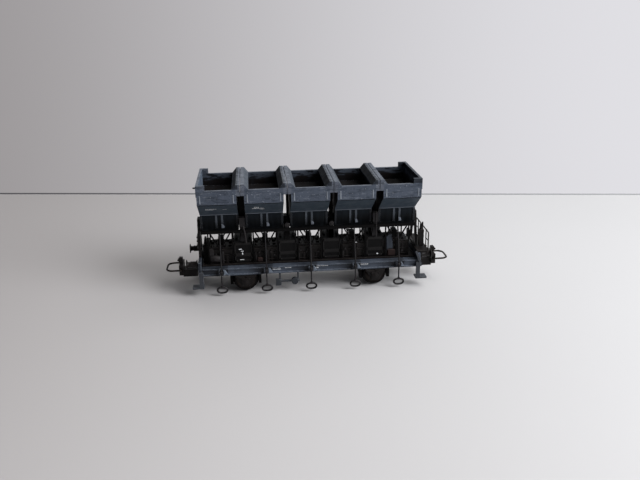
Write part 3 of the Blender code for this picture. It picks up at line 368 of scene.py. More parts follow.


# %% [markdown]
# ## Shared effects, as node groups
# Three effects come back in almost every finish here. Worn and highlit edges: paint rubs off where
# fingers touch, unevenly, and the same pale edges are painted highlights where the edges catch the
# light. Dust: a pale film that lies on what faces up. Clouding: the slow change of tone that old
# plastic has, with fine grain on top. Each is a group that puts out masks only, so that the colours
# and the shader stay in the material.


# %% A small helper for node trees
class Nodes:
    """Adds nodes to a tree and joins them: a tuple (node, output) or a plain value goes into each input."""

    def __init__(self, tree):
        self.tree = tree

    def add(self, kind, settings=None, **inputs):
        node = self.tree.nodes.new(kind)
        for name, value in (settings or {}).items():
            setattr(node, name, value)
        for name, value in inputs.items():
            self.join(node, name, value)
        return node

    def join(self, node, name, value):
        key = int(name[1:]) if name[0] == "i" and name[1:].isdigit() else name.replace("_", " ")
        socket = node.inputs[key]
        if isinstance(value, tuple) and isinstance(value[0], bpy.types.Node):
            self.tree.links.new(value[0].outputs[value[1]], socket)
        elif isinstance(value, bpy.types.Node):
            self.tree.links.new(value.outputs[0], socket)
        else:
            socket.default_value = value

    def place(self):
        """Object coordinates. Every object is at the origin, so these are the wagon's own places."""
        return (self.add("ShaderNodeTexCoord"), "Object")

    def math(self, operation, a, b=0.0, clamp=False):
        return self.add("ShaderNodeMath", {"operation": operation, "use_clamp": clamp}, i0=a, i1=b)

    def times(self, first, *others):
        """The product of masks and numbers, one Multiply node after another."""
        for other in others:
            first = self.math("MULTIPLY", first, other)
        return first

    def ramp(self, value, low, high):
        """0 below low and 1 above high, smooth between them."""
        return self.add(
            "ShaderNodeMapRange", {"interpolation_type": "SMOOTHSTEP"}, i0=value, i1=low, i2=high,
        )

    def mix(self, share, a, b, blend="MIX"):
        """Colour a where share is 0 and colour b where it is 1."""
        node = self.tree.nodes.new("ShaderNodeMix")
        node.data_type = "RGBA"
        node.blend_type = blend
        for key, value in ((0, share), (6, a), (7, b)):
            self.join(node, f"i{key}", value)
        return (node, 2)

    def noise(self, place, scale, detail=3.0, roughness=0.55, stretch=None):
        """Noise in 3D. A part of stretch above 1 makes the pattern finer along that axis."""
        if stretch:
            place = self.add("ShaderNodeMapping", Vector=place, Scale=stretch)
        return self.add(
            "ShaderNodeTexNoise", None, Vector=place, Scale=scale, Detail=detail, Roughness=roughness,
        )


def group(name, inputs, outputs, build):
    """A node group with named float inputs and outputs, filled by build(helper, input node, output node)."""
    tree = bpy.data.node_groups.new(name, "ShaderNodeTree")
    for label, value in inputs.items():
        socket = tree.interface.new_socket(name=label, in_out="INPUT", socket_type="NodeSocketFloat")
        socket.default_value = value
    for label in outputs:
        tree.interface.new_socket(name=label, in_out="OUTPUT", socket_type="NodeSocketFloat")
    nodes = Nodes(tree)
    build(nodes, nodes.add("NodeGroupInput"), nodes.add("NodeGroupOutput"))
    return tree


# %% Worn and highlit edges, dust and clouding
# The edge mask is both worn paint and a painted highlight where the bevels catch the light.
def build_wear_and_highlight(n, given, out):
    place = n.place()
    edge = (n.add("ShaderNodeAttribute", {"attribute_name": "edge"}), "Fac")
    patchy = n.noise(place, (given, "Scale"), 4.0, 0.65)
    worn = n.ramp(patchy, 0.36, 0.62)
    n.join(out, "Mask", n.math("MULTIPLY", n.times(edge, worn), (given, "Amount"), clamp=True))


def build_dust(n, given, out):
    place = n.place()
    normal = n.add("ShaderNodeSeparateXYZ", Vector=(n.add("ShaderNodeNewGeometry"), "Normal"))
    up = n.ramp((normal, 2), 0.25, 0.98)
    patchy = n.ramp(n.noise(place, (given, "Scale"), 5.0, 0.6), 0.25, 0.7)
    n.join(out, "Mask", n.math("MULTIPLY", n.times(up, patchy), (given, "Amount"), clamp=True))


def build_cloud(n, given, out):
    place = n.place()
    slow = n.noise(place, (given, "Scale"), 4.0, 0.6)
    quick = n.noise(place, n.times((given, "Scale"), 14.0), 2.0, 0.5)
    runs = n.noise(place, (given, "Scale"), 3.0, 0.6, stretch=(3.0, 3.0, 0.35))
    n.join(out, "Tone", n.ramp(slow, 0.3, 0.7))
    n.join(out, "Streak", n.ramp(runs, 0.42, 0.68))
    n.join(out, "Grain", quick)


WEAR_AND_HIGHLIGHT = group("worn_and_highlit_edges", {"Scale": 900.0, "Amount": 0.8}, ["Mask"], build_wear_and_highlight)
DUST = group("settled_dust", {"Scale": 500.0, "Amount": 0.4}, ["Mask"], build_dust)
CLOUD = group("clouding", {"Scale": 180.0}, ["Tone", "Streak", "Grain"], build_cloud)
print("groups", [g.name for g in (WEAR_AND_HIGHLIGHT, DUST, CLOUD)])

# %% [markdown]
# ## Finishes
# Almost everything is moulded plastic in two tones: blue-grey for what shows, brown-black for what
# lies in the shade. One function builds both. Its base is either a plain colour or the attribute
# called paint, which gives each face of a hopper its own tone. Then come clouding, streaks, dust and
# worn edges with their painted highlights, each by its mask, and a fine bump. The gleam is a plain
# number on the shader's socket, because it is the same all over, and a file for other programs would
# lose it if it were linked.

# %% The plastic finish
CLOUDED = (0.62, 0.62, 0.64, 1.0)


def plastic(
    name, base, pale, dark, roughness=0.46, wear_and_highlight=0.8, dust=0.35, cloud=0.5, streak=0.35, bump=0.02,
    painted=False, extra=None, gleam=0.15,
):
    """base is the clean colour, pale that of dust and of worn edges with their painted highlights, dark that
    of the streaks.
    """
    material = bpy.data.materials.new(name)
    material.use_nodes = True
    n = Nodes(material.node_tree)
    shader = material.node_tree.nodes["Principled BSDF"]
    clouds = n.add("ShaderNodeGroup", {"node_tree": CLOUD})
    # The edge mask paints both worn paint and highlights where edges catch the light.
    worn = n.add("ShaderNodeGroup", {"node_tree": WEAR_AND_HIGHLIGHT}, Amount=wear_and_highlight)
    dusty = n.add("ShaderNodeGroup", {"node_tree": DUST}, Amount=dust)
    colour = (*base, 1.0)
    if painted:
        colour = (n.add("ShaderNodeAttribute", {"attribute_name": "paint"}), "Color")
    if extra:
        colour = extra(n, colour)
    darker = n.mix(n.times((clouds, "Tone"), cloud), colour, CLOUDED, "MULTIPLY")
    streaked = n.mix(n.times((clouds, "Streak"), streak), darker, (*dark, 1.0))
    film = (dusty, "Mask")
    if painted:  # no dust shows on what is almost black
        light = n.add("ShaderNodeSeparateColor", Color=colour)
        film = n.times(film, n.ramp((light, "Blue"), 0.008, 0.03))
    dusted = n.mix(film, streaked, (*pale, 1.0))
    rubbed_and_highlit = n.mix((worn, "Mask"), dusted, tuple(min(1.0, c * 1.25) for c in pale) + (1.0,))
    n.join(shader, "Base Color", rubbed_and_highlit)
    shader.inputs["Specular IOR Level"].default_value = gleam
    gloss = n.add("ShaderNodeMapRange", None, i0=(clouds, "Tone"), i3=roughness - 0.08, i4=roughness + 0.12)
    n.join(shader, "Roughness", gloss)
    lift = n.add("ShaderNodeBump", None, Strength=0.35, Distance=bump * MM, Height=(clouds, "Grain"))
    n.join(shader, "Normal", lift)
    return material


# %% [markdown]
# ## The hoppers' paint
# On the real wagon each zone of a hopper has its own tone: a pale band round the rim, a darker sloping
# panel, pale ribs on the casing, and a brown-black inside. Some tones are painted light and shade: the
# casing's almost black is painted shade under the overhanging panel; the end walls across a gap, the
# underside of the band's step and the hood faces that face along the wagon are painted shade; the
# inner walls that face the window on the right get a painted lit tone, while those that face away get
# the brown-black as painted shade. The zones are whole faces of the imported piece, so each face's
# tone is stored on its corners, worked out from where it lies and which way it faces.

# %% Tones of the hoppers, as linear colours
BAND = (0.069, 0.081, 0.1055)
HOOD = (0.098, 0.108, 0.132)
PANEL = (0.055, 0.071, 0.089)
# The casing's near black is painted shade under the overhanging panel.
CASING = (0.0060, 0.0088, 0.0122)
RIB = (0.088, 0.100, 0.118)
EDGE_STRIP = (0.026, 0.028, 0.032)
# The inside's own brown-black; on the inner end walls that face away from the window it is also painted
# shade.
INSIDE = (0.0085, 0.0068, 0.0068)
# Painted shade on hood faces that face along the wagon: darkest where they face left, away from the window,
# lighter where they face right.
SHADED_HOOD = (0.018, 0.020, 0.025)
HALF_SHADED_HOOD = (0.040, 0.048, 0.060)
# A painted lit tone for the inner end walls that face the window on the right.
LIT_WALL = (0.100, 0.124, 0.162)
SHADE = (0.004, 0.004, 0.0045)
PALE = (0.30, 0.32, 0.35)
# Painted shade on the underside of the band's step.
BAND_STEP_SHADE = (0.010, 0.010, 0.012)
INNER_HALF = 7.98  # half of the length inside a hopper
END_WALL_X = 8.7  # where its end walls start
HOOD_X = 9.0  # what reaches further than this is the hood


def inner_y(z):
    """Half the width of the space inside a hopper at height z."""
    return np.interp(z, [29.3, 30.8, 38.15, 46.05], [3.2, 4.4, 5.0, 15.8])


def casing_y(z):
    """Half the width of the casing, without its ribs, at height z."""
    return np.interp(z, [28.4, CASING_Z, CREASE_Z], [4.1, CASING_Y, CREASE_Y])


def tone_of(centre, normal, middle, row_end):
    """The tone of one face, from its centre, its normal and the hopper's middle."""
    x, y, z = abs(centre.x - middle), abs(centre.y), centre.z
    within = x < INNER_HALF and y < inner_y(z) + 0.12 and 29.2 < z < RIM_Z - 0.05
    if within and not (z > 46 and normal.z < -0.5):
        # Inner faces that face the window, towards +X, get the painted lit tone; the rest get the
        # brown-black, which on the end walls facing away is painted shade.
        return LIT_WALL if normal.x > 0.6 else INSIDE
    if x > END_WALL_X and z < RIM_Z - 2.8 and abs(normal.x) > 0.7 and not row_end:
        return SHADE
    if z > RIM_Z - 0.1 or x > HOOD_X or (x > 6.7 and z > RIM_Z - 2.9 and y < 16.2):
        # Hood faces that face along the wagon: painted shade.
        if abs(normal.x) > 0.4 and not row_end:
            return SHADED_HOOD if normal.x < 0 else HALF_SHADED_HOOD
        return HOOD
    # The underside of the band's step, facing down: painted shade.
    if BAND_FOOT - 0.6 < z < BAND_FOOT + 0.1 and normal.z < -0.6:
        return BAND_STEP_SHADE
    if z > BAND_FOOT - 0.3 and y > 15:
        return BAND
    if z > CREASE_Z - 0.3 and y > CREASE_Y - 0.3:
        return PANEL
    if CASING_Z - 0.2 < z < CREASE_Z and y > casing_y(z) + 0.1:
        return EDGE_STRIP if x > 6 and not row_end else RIB
    # What is left is the casing in its painted shade; at the row's two ends its faces along x take the
    # panel's tone.
    return PANEL if row_end and abs(normal.x) > 0.7 else CASING


def paint_hopper(number):
    """A painter that stores each face's tone on its corners, as the attribute called paint."""
    middle = HOPPER_X[number - 1]

    def paint(shape):
        layer = shape.loops.layers.float_color.new("paint")
        for face in shape.faces:
            centre = face.calc_center_median()
            row_end = (number == 1 and face.normal.x < 0) or (number == 5 and face.normal.x > 0)
            tone = (*tone_of(centre, face.normal, middle, row_end), 1.0)
            for corner in face.loops:
                corner[layer] = tone

    return paint


# %% [markdown]
# Some marks follow the place on the hopper, and not its faces: dark runs on the upper inside walls, a
# painted shade on the foot of the lit end wall, deep in the hopper, slanting pale and dark strokes on
# the band that are the painted highlights and shadows of a slanting relief, specks and pits on the
# band, a painted shaded side on each ridge, and painted shade towards the feet of the casing and its
# ribs. All read Object coordinates, so they are at the same height on every hopper. The blue part of
# the paint tells the zones apart: it is about 0.007 inside, 0.012 on the casing, and over 0.09 on the
# band, the ribs and the lit wall.

# %% Marks that follow the place
WALL_BLUE, WALL_RUNS = (0.052, 0.060, 0.076, 1.0), (0.008, 0.008, 0.010, 1.0)
# Painted shade deep inside the hopper, on the foot of the lit end wall.
LIT_WALL_FOOT_SHADE = (0.012, 0.011, 0.012, 1.0)
BAND_SHADOW, BAND_SPECK = (0.026, 0.031, 0.041, 1.0), (0.30, 0.32, 0.36, 1.0)
BAND_PIT = (0.02, 0.023, 0.03, 1.0)
RIDGE_SHADE = (0.012, 0.014, 0.018, 1.0)
# Painted shade towards the feet of the casing and its ribs.
CASING_FOOT_SHADE, RIB_FOOT_SHADE = (0.0015, 0.0016, 0.0018, 1.0), (0.014, 0.015, 0.017, 1.0)


def hopper_marks(n, colour):
    """The painted colour with each mark mixed in by its own mask."""
    place = n.place()
    parts = n.add("ShaderNodeSeparateXYZ", Vector=place)
    facing = n.add("ShaderNodeSeparateXYZ", Vector=(n.add("ShaderNodeNewGeometry"), "Normal"))
    z, blue = (parts, "Z"), (n.add("ShaderNodeSeparateColor", Color=colour), "Blue")

    wavy = n.noise(place, 260.0, 3.0, 0.6, stretch=(0.6, 1.0, 2.6))
    edge = n.math("ADD", z, n.times(n.math("SUBTRACT", wavy, 0.5), 6.0 * MM))
    strokes = n.ramp(n.noise(place, 200.0, 4.0, 0.7, stretch=(0.8, 1.0, 3.6)), 0.50, 0.60)
    inside = n.times(n.ramp(blue, 0.0080, 0.0070), n.ramp(blue, 0.0050, 0.0060))
    upper = n.ramp(edge, 48.6 * MM, 50.0 * MM)
    colour = n.mix(n.times(inside, upper), colour, n.mix(strokes, WALL_BLUE, WALL_RUNS))

    # Painted shade: the lit end wall darkens deep in the hopper, away from the light of the opening.
    deep = n.times(n.ramp(edge, 47.5 * MM, 41.0 * MM), n.ramp((facing, 0), 0.5, 0.7))
    colour = n.mix(n.times(deep, n.ramp((parts, "Y"), 16.3 * MM, 15.9 * MM)), colour, LIT_WALL_FOOT_SHADE)

    slanted = n.add("ShaderNodeMapping", Vector=place, Rotation=(0.0, 0.45, 0.0), Scale=(0.45, 0.5, 2.6))
    band = n.times(n.ramp(z, 45.4 * MM, 46.0 * MM), n.ramp(blue, 0.090, 0.100))
    # Painted light and shade: the pale and dark slanting strokes stand for the highlights and shadows of a
    # slanting relief on the band; specks and pits are marks on it.
    for where, scale, detail, low, high, share, tone in (
        (slanted, 520.0, (3.0, 0.75), 0.56, 0.68, 0.30, (*PALE, 1.0)),
        (slanted, 300.0, (4.0, 0.75), 0.50, 0.60, 0.62, BAND_SHADOW),
        (place, 1300.0, (1.0, 0.5), 0.69, 0.75, 0.5, BAND_SPECK),
        (place, 1700.0, (1.0, 0.5), 0.33, 0.27, 0.6, BAND_PIT),
    ):
        spots = n.ramp(n.noise(where, scale, *detail), low, high)
        colour = n.mix(n.times(spots, band, share), colour, tone)

    along = n.math("FRACT", n.math("DIVIDE", n.math("ADD", (parts, "X"), 63.0 * MM), PITCH * MM))
    ridge_left = n.times(n.ramp(z, (RIM_Z + 0.1) * MM, (RIM_Z + 0.5) * MM), n.ramp(along, 0.462, 0.448))
    colour = n.mix(n.times(ridge_left, 0.85), colour, RIDGE_SHADE)

    # Painted shade: the casing and its ribs, under the overhanging panel, darken towards their feet.
    casing = n.times(n.ramp(z, 37.6 * MM, 37.4 * MM), n.ramp(blue, 0.0150, 0.0140))
    colour = n.mix(n.times(casing, n.ramp(z, 37.0 * MM, 32.6 * MM), 0.85), colour, CASING_FOOT_SHADE)
    ribs = n.times(n.ramp(z, 37.4 * MM, 37.2 * MM), n.ramp(blue, 0.020, 0.028))
    return n.mix(n.times(ribs, n.ramp(z, 36.5 * MM, 30.5 * MM)), colour, RIB_FOOT_SHADE)


HOPPER_GREY = plastic(
    "hopper_plastic", BAND, PALE, (0.020, 0.025, 0.032), 0.44, wear_and_highlight=0.75, dust=0.30,
    cloud=0.35, streak=0.18, bump=0.03, painted=True, extra=hopper_marks, gleam=0.08,
)
for number, node in enumerate(HOPPERS, 1):
    softened(node, HOPPER_GREY, 0.11, paint=paint_hopper(number))
print("hopper faces", PIECES["hopper_3_soft"])

# %% [markdown]
# ## The other finishes
# The underframe has the same moulded plastic in other tones, so it takes the same function with other
# numbers. On the beams each lever throws its bay into shade towards the next one. That fade repeats
# with the hoppers' pitch, so it comes from the remainder of x divided by the pitch.

# %% Plastics of the underframe
BAY = PITCH * MM
BAY_SHADE = (0.006, 0.0065, 0.008, 1.0)


def beam_bays(n, colour):
    """Each bay of the beams fades from pale, right of a lever, to dark, left of the next one."""
    place = n.add("ShaderNodeSeparateXYZ", Vector=n.place())
    from_lever = n.math("ADD", (place, "X"), 60.0 * MM - HOPPER_X[0] * MM % BAY)
    along = n.math("FRACT", n.math("DIVIDE", from_lever, BAY))
    fade = n.ramp(along, 0.20, 0.86)
    shelf = n.ramp((place, "Z"), 13.3 * MM, 12.6 * MM)
    low = n.add("ShaderNodeMapRange", None, i0=shelf, i3=0.78, i4=0.92)
    # Painted shade also darkens the beam's left end, left of the first lever.
    left_end = n.times(n.ramp((place, "X"), -43.0 * MM, -46.0 * MM), 0.75)
    return n.mix(n.math("MAXIMUM", n.times(fade, low), left_end), colour, BAY_SHADE)


FRAME_GREY = plastic(
    "frame_plastic", (0.062, 0.073, 0.094), (0.18, 0.20, 0.235), (0.02, 0.023, 0.030), 0.40, wear_and_highlight=0.8,
    dust=0.15, cloud=0.5, streak=0.3, extra=beam_bays,
)
STEP_GREY = plastic(
    "step_plastic", (0.042, 0.045, 0.051), (0.2, 0.21, 0.23), (0.02, 0.023, 0.030), 0.42, wear_and_highlight=0.8,
    dust=0.25, cloud=0.5, streak=0.3,
)
MARK_WHITE = plastic(
    "white_marks", (0.72, 0.73, 0.74), (0.8, 0.8, 0.8), (0.3, 0.3, 0.3), 0.55, wear_and_highlight=0.0, dust=0.0,
    cloud=0.3, streak=0.25,
)
BROWN = plastic(
    "brown_plastic", (0.0085, 0.0068, 0.0065), (0.060, 0.050, 0.046), (0.005, 0.0042, 0.0042), 0.38,
    wear_and_highlight=0.5, dust=0.16, cloud=0.6, streak=0.3,
)
# Near-black; on the lines under the bands it is painted shadow.
DEEP = plastic(
    "shadow_plastic", (0.0030, 0.0027, 0.0028), (0.02, 0.018, 0.018), (0.002, 0.002, 0.002), 0.5,
    gleam=0.06, wear_and_highlight=0.3, dust=0.03, cloud=0.5, streak=0.2,
)
PEDESTAL = plastic(
    "pedestal_plastic", (0.0095, 0.0086, 0.0086), (0.06, 0.055, 0.053), (0.006, 0.0055, 0.0055), 0.36,
    wear_and_highlight=0.5, dust=0.16, cloud=0.5, streak=0.4,
)
BRACKET = plastic(
    "bracket_plastic", (0.022, 0.0195, 0.020), (0.10, 0.090, 0.088), (0.012, 0.010, 0.010), 0.42, wear_and_highlight=0.6,
    dust=0.25, cloud=0.6, streak=0.4,
)
LEVER = plastic(
    "lever_plastic", (0.016, 0.0145, 0.0155), (0.12, 0.112, 0.11), (0.010, 0.009, 0.009), 0.40, wear_and_highlight=0.7,
    dust=0.2, cloud=0.5, streak=0.4,
)
VALVE = plastic(
    "valve_plastic", (0.030, 0.033, 0.038), (0.16, 0.17, 0.18), (0.025, 0.029, 0.033), 0.45, wear_and_highlight=0.7,
    dust=0.3, cloud=0.5,
)
RUST = plastic(
    "rust_brown", (0.018, 0.0105, 0.0098), (0.16, 0.10, 0.085), (0.02, 0.012, 0.011), 0.5, wear_and_highlight=0.5,
    dust=0.25, cloud=0.6,
)
WHEEL = plastic(
    "wheel_plastic", (0.0045, 0.0037, 0.0037), (0.035, 0.030, 0.027), (0.003, 0.0025, 0.0025), 0.34,
    gleam=0.1, wear_and_highlight=0.5, dust=0.06, cloud=0.6, streak=0.25,
)

# %% [markdown]
# Four parts are metal: the axles, the wheels' treads, the wire and the weight. All are old, so a
# stain lies over them in clouds, and the stained metal is rougher than the clean.


# %% Metals
def metal(name, base, roughness, stain):
    """Metal with cloudy stains, which are rougher than the clean metal."""
    material = bpy.data.materials.new(name)
    material.use_nodes = True
    n = Nodes(material.node_tree)
    shader = material.node_tree.nodes["Principled BSDF"]
    shader.inputs["Metallic"].default_value = 1.0
    clouds = n.add("ShaderNodeGroup", {"node_tree": CLOUD}, Scale=260.0)
    n.join(shader, "Base Color", n.mix((clouds, "Tone"), (*base, 1.0), (*stain, 1.0)))
    gloss = n.add("ShaderNodeMapRange", None, i0=(clouds, "Tone"), i3=roughness, i4=roughness + 0.2)
    n.join(shader, "Roughness", gloss)
    lift = n.add("ShaderNodeBump", None, Strength=0.25, Distance=0.01 * MM, Height=(clouds, "Grain"))
    n.join(shader, "Normal", lift)
    return material


STEEL = metal("turned_steel", (0.60, 0.59, 0.57), 0.24, (0.42, 0.40, 0.38))
TREAD = metal("worn_tread", (0.030, 0.026, 0.024), 0.36, (0.012, 0.010, 0.009))
WIRE = metal("blackened_wire", (0.045, 0.038, 0.032), 0.36, (0.014, 0.012, 0.011))
ZINC = metal("cast_zinc", (0.42, 0.42, 0.42), 0.5, (0.30, 0.30, 0.30))
print("materials", len(bpy.data.materials))

# %% [markdown]
# ## The underframe
# The long beams, the end beams, the steps, the lattice, the trestles and the brake gear have the right
# shape already, so they get softened copies, each in its own plastic. The zones of a pedestal trestle
# differ: its block is grey-brown, its frame is almost black, and the boxes that stand out of it at the
# first and last gaps are brownish grey. One material reads those tones from the paint attribute.


# %% Softened copies for the underframe
TRESTLE_FRAME, TRESTLE_BLOCK = (0.0032, 0.0029, 0.0030), (0.0045, 0.0043, 0.0044)
BRACKET_BOX, ROLLER_HEAD = (0.020, 0.0185, 0.0195), (0.034, 0.033, 0.034)


def paint_trestle(number):
    """A painter for one trestle: only the outer two have bracket boxes, only the inner two roller heads."""
    def paint(shape):
        layer = shape.loops.layers.float_color.new("paint")
        for face in shape.faces:
            c = face.calc_center_median()
            tone = TRESTLE_FRAME
            if c.z < 24.3:
                tone = TRESTLE_BLOCK
            elif abs(c.y) > 4.6 and c.z < 37 and number in (1, 4):
                tone = BRACKET_BOX
            elif abs(c.y) > 7.0 and number in (2, 3):
                tone = ROLLER_HEAD
            for corner in face.loops:
                corner[layer] = (*tone, 1.0)

    return paint


TRESTLE = plastic(
    "trestle_plastic", (0.02, 0.018, 0.018), (0.10, 0.092, 0.090), (0.005, 0.0045, 0.0045), 0.42, wear_and_highlight=0.4,
    dust=0.25, cloud=0.5, streak=0.35, gleam=0.08, painted=True,
)
for number in range(1, 5):
    softened(f"trestle_{number}", TRESTLE, 0.10, paint=paint_trestle(number))
for node in ("trestle_left", "trestle_right", "deck", "platform", "handbrake_stand"):
    softened(node, BROWN, 0.10)
for side in SIDES:
    softened(f"bracing_{side}", DEEP, 0.06)
    softened(f"solebar_{side}", FRAME_GREY, 0.09)
for end in ENDS:
    softened(f"headstock_{end}", FRAME_GREY, 0.10)
    softened(f"brake_rigging_{end}", DEEP, 0.08)
    softened(f"coupler_{end}", BROWN, 0.10)
    for side in SIDES:
        softened(f"step_{end}_{side}", STEP_GREY, 0.08)
        softened(f"axle_guard_{end}_{side}", BROWN, 0.10)
softened("brake_valve", VALVE, 0.10)
softened("ballast_weight", ZINC, 0.15)
softened("handbrake_crank", BROWN, 0.08)
print("softened copies", len(PIECES))

# %% [markdown]
# ## Locking levers with pull rings
# Each lever is a thin rod that leans out from the hopper's foot, turns on a pin between two cheeks on
# the beam, and ends in a wire ring for the finger. The rod and the ring are tubes along smooth paths,
# and the eye and its pin are turned.

# %% Levers
LEVER_Y, LEVER_Z = 14.0, 11.6  # the pin that it turns on
RING_Y, RING_Z = 14.2, 3.1  # the middle of its ring


def lever_shapes(x, side):
    """The ring is x + 2.3 * cos^0.82, z + 1.35 * sin^0.92 of one turn: an oval with fuller shoulders."""
    share = np.linspace(0, 2 * np.pi, 28, endpoint=False)
    ring = np.stack([
        x + 2.3 * np.sign(np.cos(share)) * np.abs(np.cos(share)) ** 0.82,
        np.full_like(share, side * RING_Y),
        RING_Z + 1.35 * np.sign(np.sin(share)) * np.abs(np.sin(share)) ** 0.92,
    ], 1)
    shaft = bent([
        (x, side * RING_Y, RING_Z + 1.2), (x, side * 14.1, 7.2), (x, side * LEVER_Y, LEVER_Z),
        (x, side * 13.85, 14.1), (x, side * 8.95, 29.6),
    ], 1.6)
    hub = (x, side * LEVER_Y, LEVER_Z)
    rim = [(0.2, -0.45), (0.75, -0.45), (0.85, -0.35), (0.85, 0.35), (0.75, 0.45), (0.2, 0.45)]
    stem = [(0.02, -0.68), (0.3, -0.68), (0.38, -0.6), (0.38, 0.6), (0.3, 0.68), (0.02, 0.68)]
    eye, pin = turned(rim, hub, "X", 20), turned(stem, hub, "X", 14)
    collar = turned(
        [(0.3, -0.5), (0.58, -0.4), (0.6, 0.0), (0.58, 0.4), (0.3, 0.5)], (x, side * 14.17, RING_Z + 1.7),
        "Z", 14,
    )
    pull = tube(ring, 0.47, 12, True, across=(0.02, 1.0, 0.03))
    return [pull, tube(shaft, 0.33, 10, across=(1.0, 0.02, 0.01)), eye, pin, collar]


for side, way in SIDES.items():
    for number, x in enumerate(HOPPER_X, 1):
        node = f"lever_{side}_{number}"
        piece(node + "_rod", lever_shapes(x, way), LEVER, node, [node])
print("levers", len(HOPPER_X) * 2)

# %% [markdown]
# Each lever's cheeks are backed by a small gusset on the beam, to the right of the lever. Its pale tone
# is painted light: the lit side of the bracket, which catches the light from the right. It is a slab
# whose outline narrows towards the top, like the moulded web it stands for.

# %% Gussets on the beams
# A painted lit tone, paler than the beam.
LIT_GUSSET_GREY = plastic(
    "lit_gusset_plastic", (0.115, 0.134, 0.165), PALE, (0.05, 0.058, 0.07), 0.42, wear_and_highlight=0.8, dust=0.1, cloud=0.3,
    streak=0.2,
)
for side, way in SIDES.items():
    web = SOLEBAR_Y - 1.0
    shapes = []
    for x in HOPPER_X:
        outline = [(10.0, x + 1.0), (10.0, x + 3.1), (11.2, x + 2.4), (12.4, x + 1.7), (12.9, x + 1.0)]
        low_y, high_y = between(way, web, SOLEBAR_Y - 0.1)
        shapes.append(slab(outline, low_y, high_y, "Y", 0.12))
    piece(f"gussets_{side}", shapes, LIT_GUSSET_GREY, "frame", ())

# %% [markdown]
# ## Wheels and axles
# A wheel of this size is one turned disc: a hub, a dished web with a raised rim, a tread that tapers a
# little outwards, and a rounded flange on the inside. The tread rubs bright on the rails, so it is a
# thin band of its own in worn metal.


# %% Wheelsets
def wheel_profile(way):
    """(radius, height) from the inner face, at the flange, out to the face with the rim."""
    shape = [
        (0.3, 0.0), (2.2, 0.0), (2.5, 0.25), (4.4, 0.25), (4.6, 0.0), (5.6, 0.0), (
            5.95, 0.08,
        ), (6.12, 0.28),
        (
            6.15, 0.42,
        ), (6.05, 0.62), (5.75, 0.74), (5.56, 0.86), (5.5, 1.05), (5.42, 2.62), (5.3, 2.8), (4.8, 2.8),
        (
            4.68, 2.7,
        ), (4.58, 2.3), (4.4, 2.02), (3.4, 1.86), (2.9, 1.92), (2.6, 2.1), (2.45, 2.6), (2.3, 2.8),
        (1.2, 2.8), (1.05, 3.0), (0.3, 3.0),
    ]
    return [(r, way * h) for r, h in shape]


for end, x in zip(ENDS, AXLE_X):
    body = f"wheelset_{end}"
    for side, way in SIDES.items():
        centre = (x, way * WHEEL_Y, AXLE_Z)
        spokes = []
        for angle in np.linspace(0, 2 * np.pi, 9, endpoint=False):
            c, s = math.cos(angle), math.sin(angle)
            reach = ((2.2, 2.05), (3.4, 2.0), (4.75, 2.15))
            path = [(x + r * c, way * (WHEEL_Y + h), AXLE_Z + r * s) for r, h in reach]
            spokes.append(tube(path, [0.42, 0.34, 0.42], 8, across=(0.01, way, 0.02)))
        wheel = f"wheel_{end}_{side}"
        disc = turned(wheel_profile(way), centre, "Y", 64)
        piece(wheel + "_disc", [disc] + spokes, WHEEL, body, [wheel])
        band = [(5.35, way * 1.12), (5.53, way * 1.14), (5.45, way * 2.5), (5.3, way * 2.52)]
        piece(f"tread_{end}_{side}", [turned(band, centre, "Y", 64)], TREAD, body, ())
    half_shaft = [(1.15, 1.9), (1.0, 2.0), (1.0, 10.4), (0.95, 10.7), (0.3, 11.95), (0.05, 12.1)]
    shaft = [(r, -h) for r, h in reversed(half_shaft)] + half_shaft
    piece(
        f"axle_{end}_shaft", [turned(shaft, (x, 0, AXLE_Z), "Y", 32)], STEEL, body, [f"axle_{end}"],
    )

# %% [markdown]
# ## Springs and axle boxes
# Each axle guard carries a laminated spring, whose leaves get shorter towards the bottom, and a box
# with a round cover on its face. The leaves are slabs whose outline follows a shallow arc.


# %% Leaf springs and axle box covers
COVER_Y = 13.25  # the face of an axle box


def leaf(x, half, top, low_y, high_y, thick=0.34, sag=0.5):
    """The arc z = top - sag * (1 - (t / 4.6)^2) along x, of constant thickness, as an outline of (z, x)."""
    t = np.linspace(-half, half, 13)
    z = top - sag * (1 - (t / 4.6) ** 2)
    outline = np.concatenate([np.stack([z, x + t], 1), np.stack([z[::-1] - thick, x + t[::-1]], 1)])
    return slab(outline, low_y, high_y, "Y", 0.06)


for end, x in zip(ENDS, AXLE_X):
    for side, way in SIDES.items():
        low_y, high_y = between(way, 12.15, 13.0)
        shapes = [leaf(x, 4.6 - 0.8 * k, 9.35 - 0.36 * k, low_y, high_y) for k in range(5)]
        dome = [(0.1, 0.0), (1.35, 0.0), (1.45, 0.12), (1.4, 0.3), (0.9, 0.38), (0.45, 0.55), (0.1, 0.58)]
        cover = [(r, way * h) for r, h in dome]
        shapes.append(turned(cover, (x, way * COVER_Y, AXLE_Z), "Y", 28))
        shapes.append(cuboid((x - 0.55, low_y, 6.9), (x + 0.55, high_y, 9.3), 0.1))
        for bolt_x in (-1.55, 1.55):
            for bolt_z in (-1.6, 1.6):
                head = [(0.05, 0.0), (0.28, 0.0), (0.28, way * 0.16), (0.2, way * 0.22), (0.05, way * 0.22)]
                shapes.append(turned(head, (x + bolt_x, way * (COVER_Y + 0.03), AXLE_Z + bolt_z), "Y", 6))
        piece(f"spring_{end}_{side}", shapes, BROWN, "frame", ())
print("springs", 4)

# %% [markdown]
# ## Buffers, railing and coupler loops
# A buffer is turned: a base flange, a stepped sleeve, a plunger and a slightly domed head. The loop and
# the railing are bent wire.

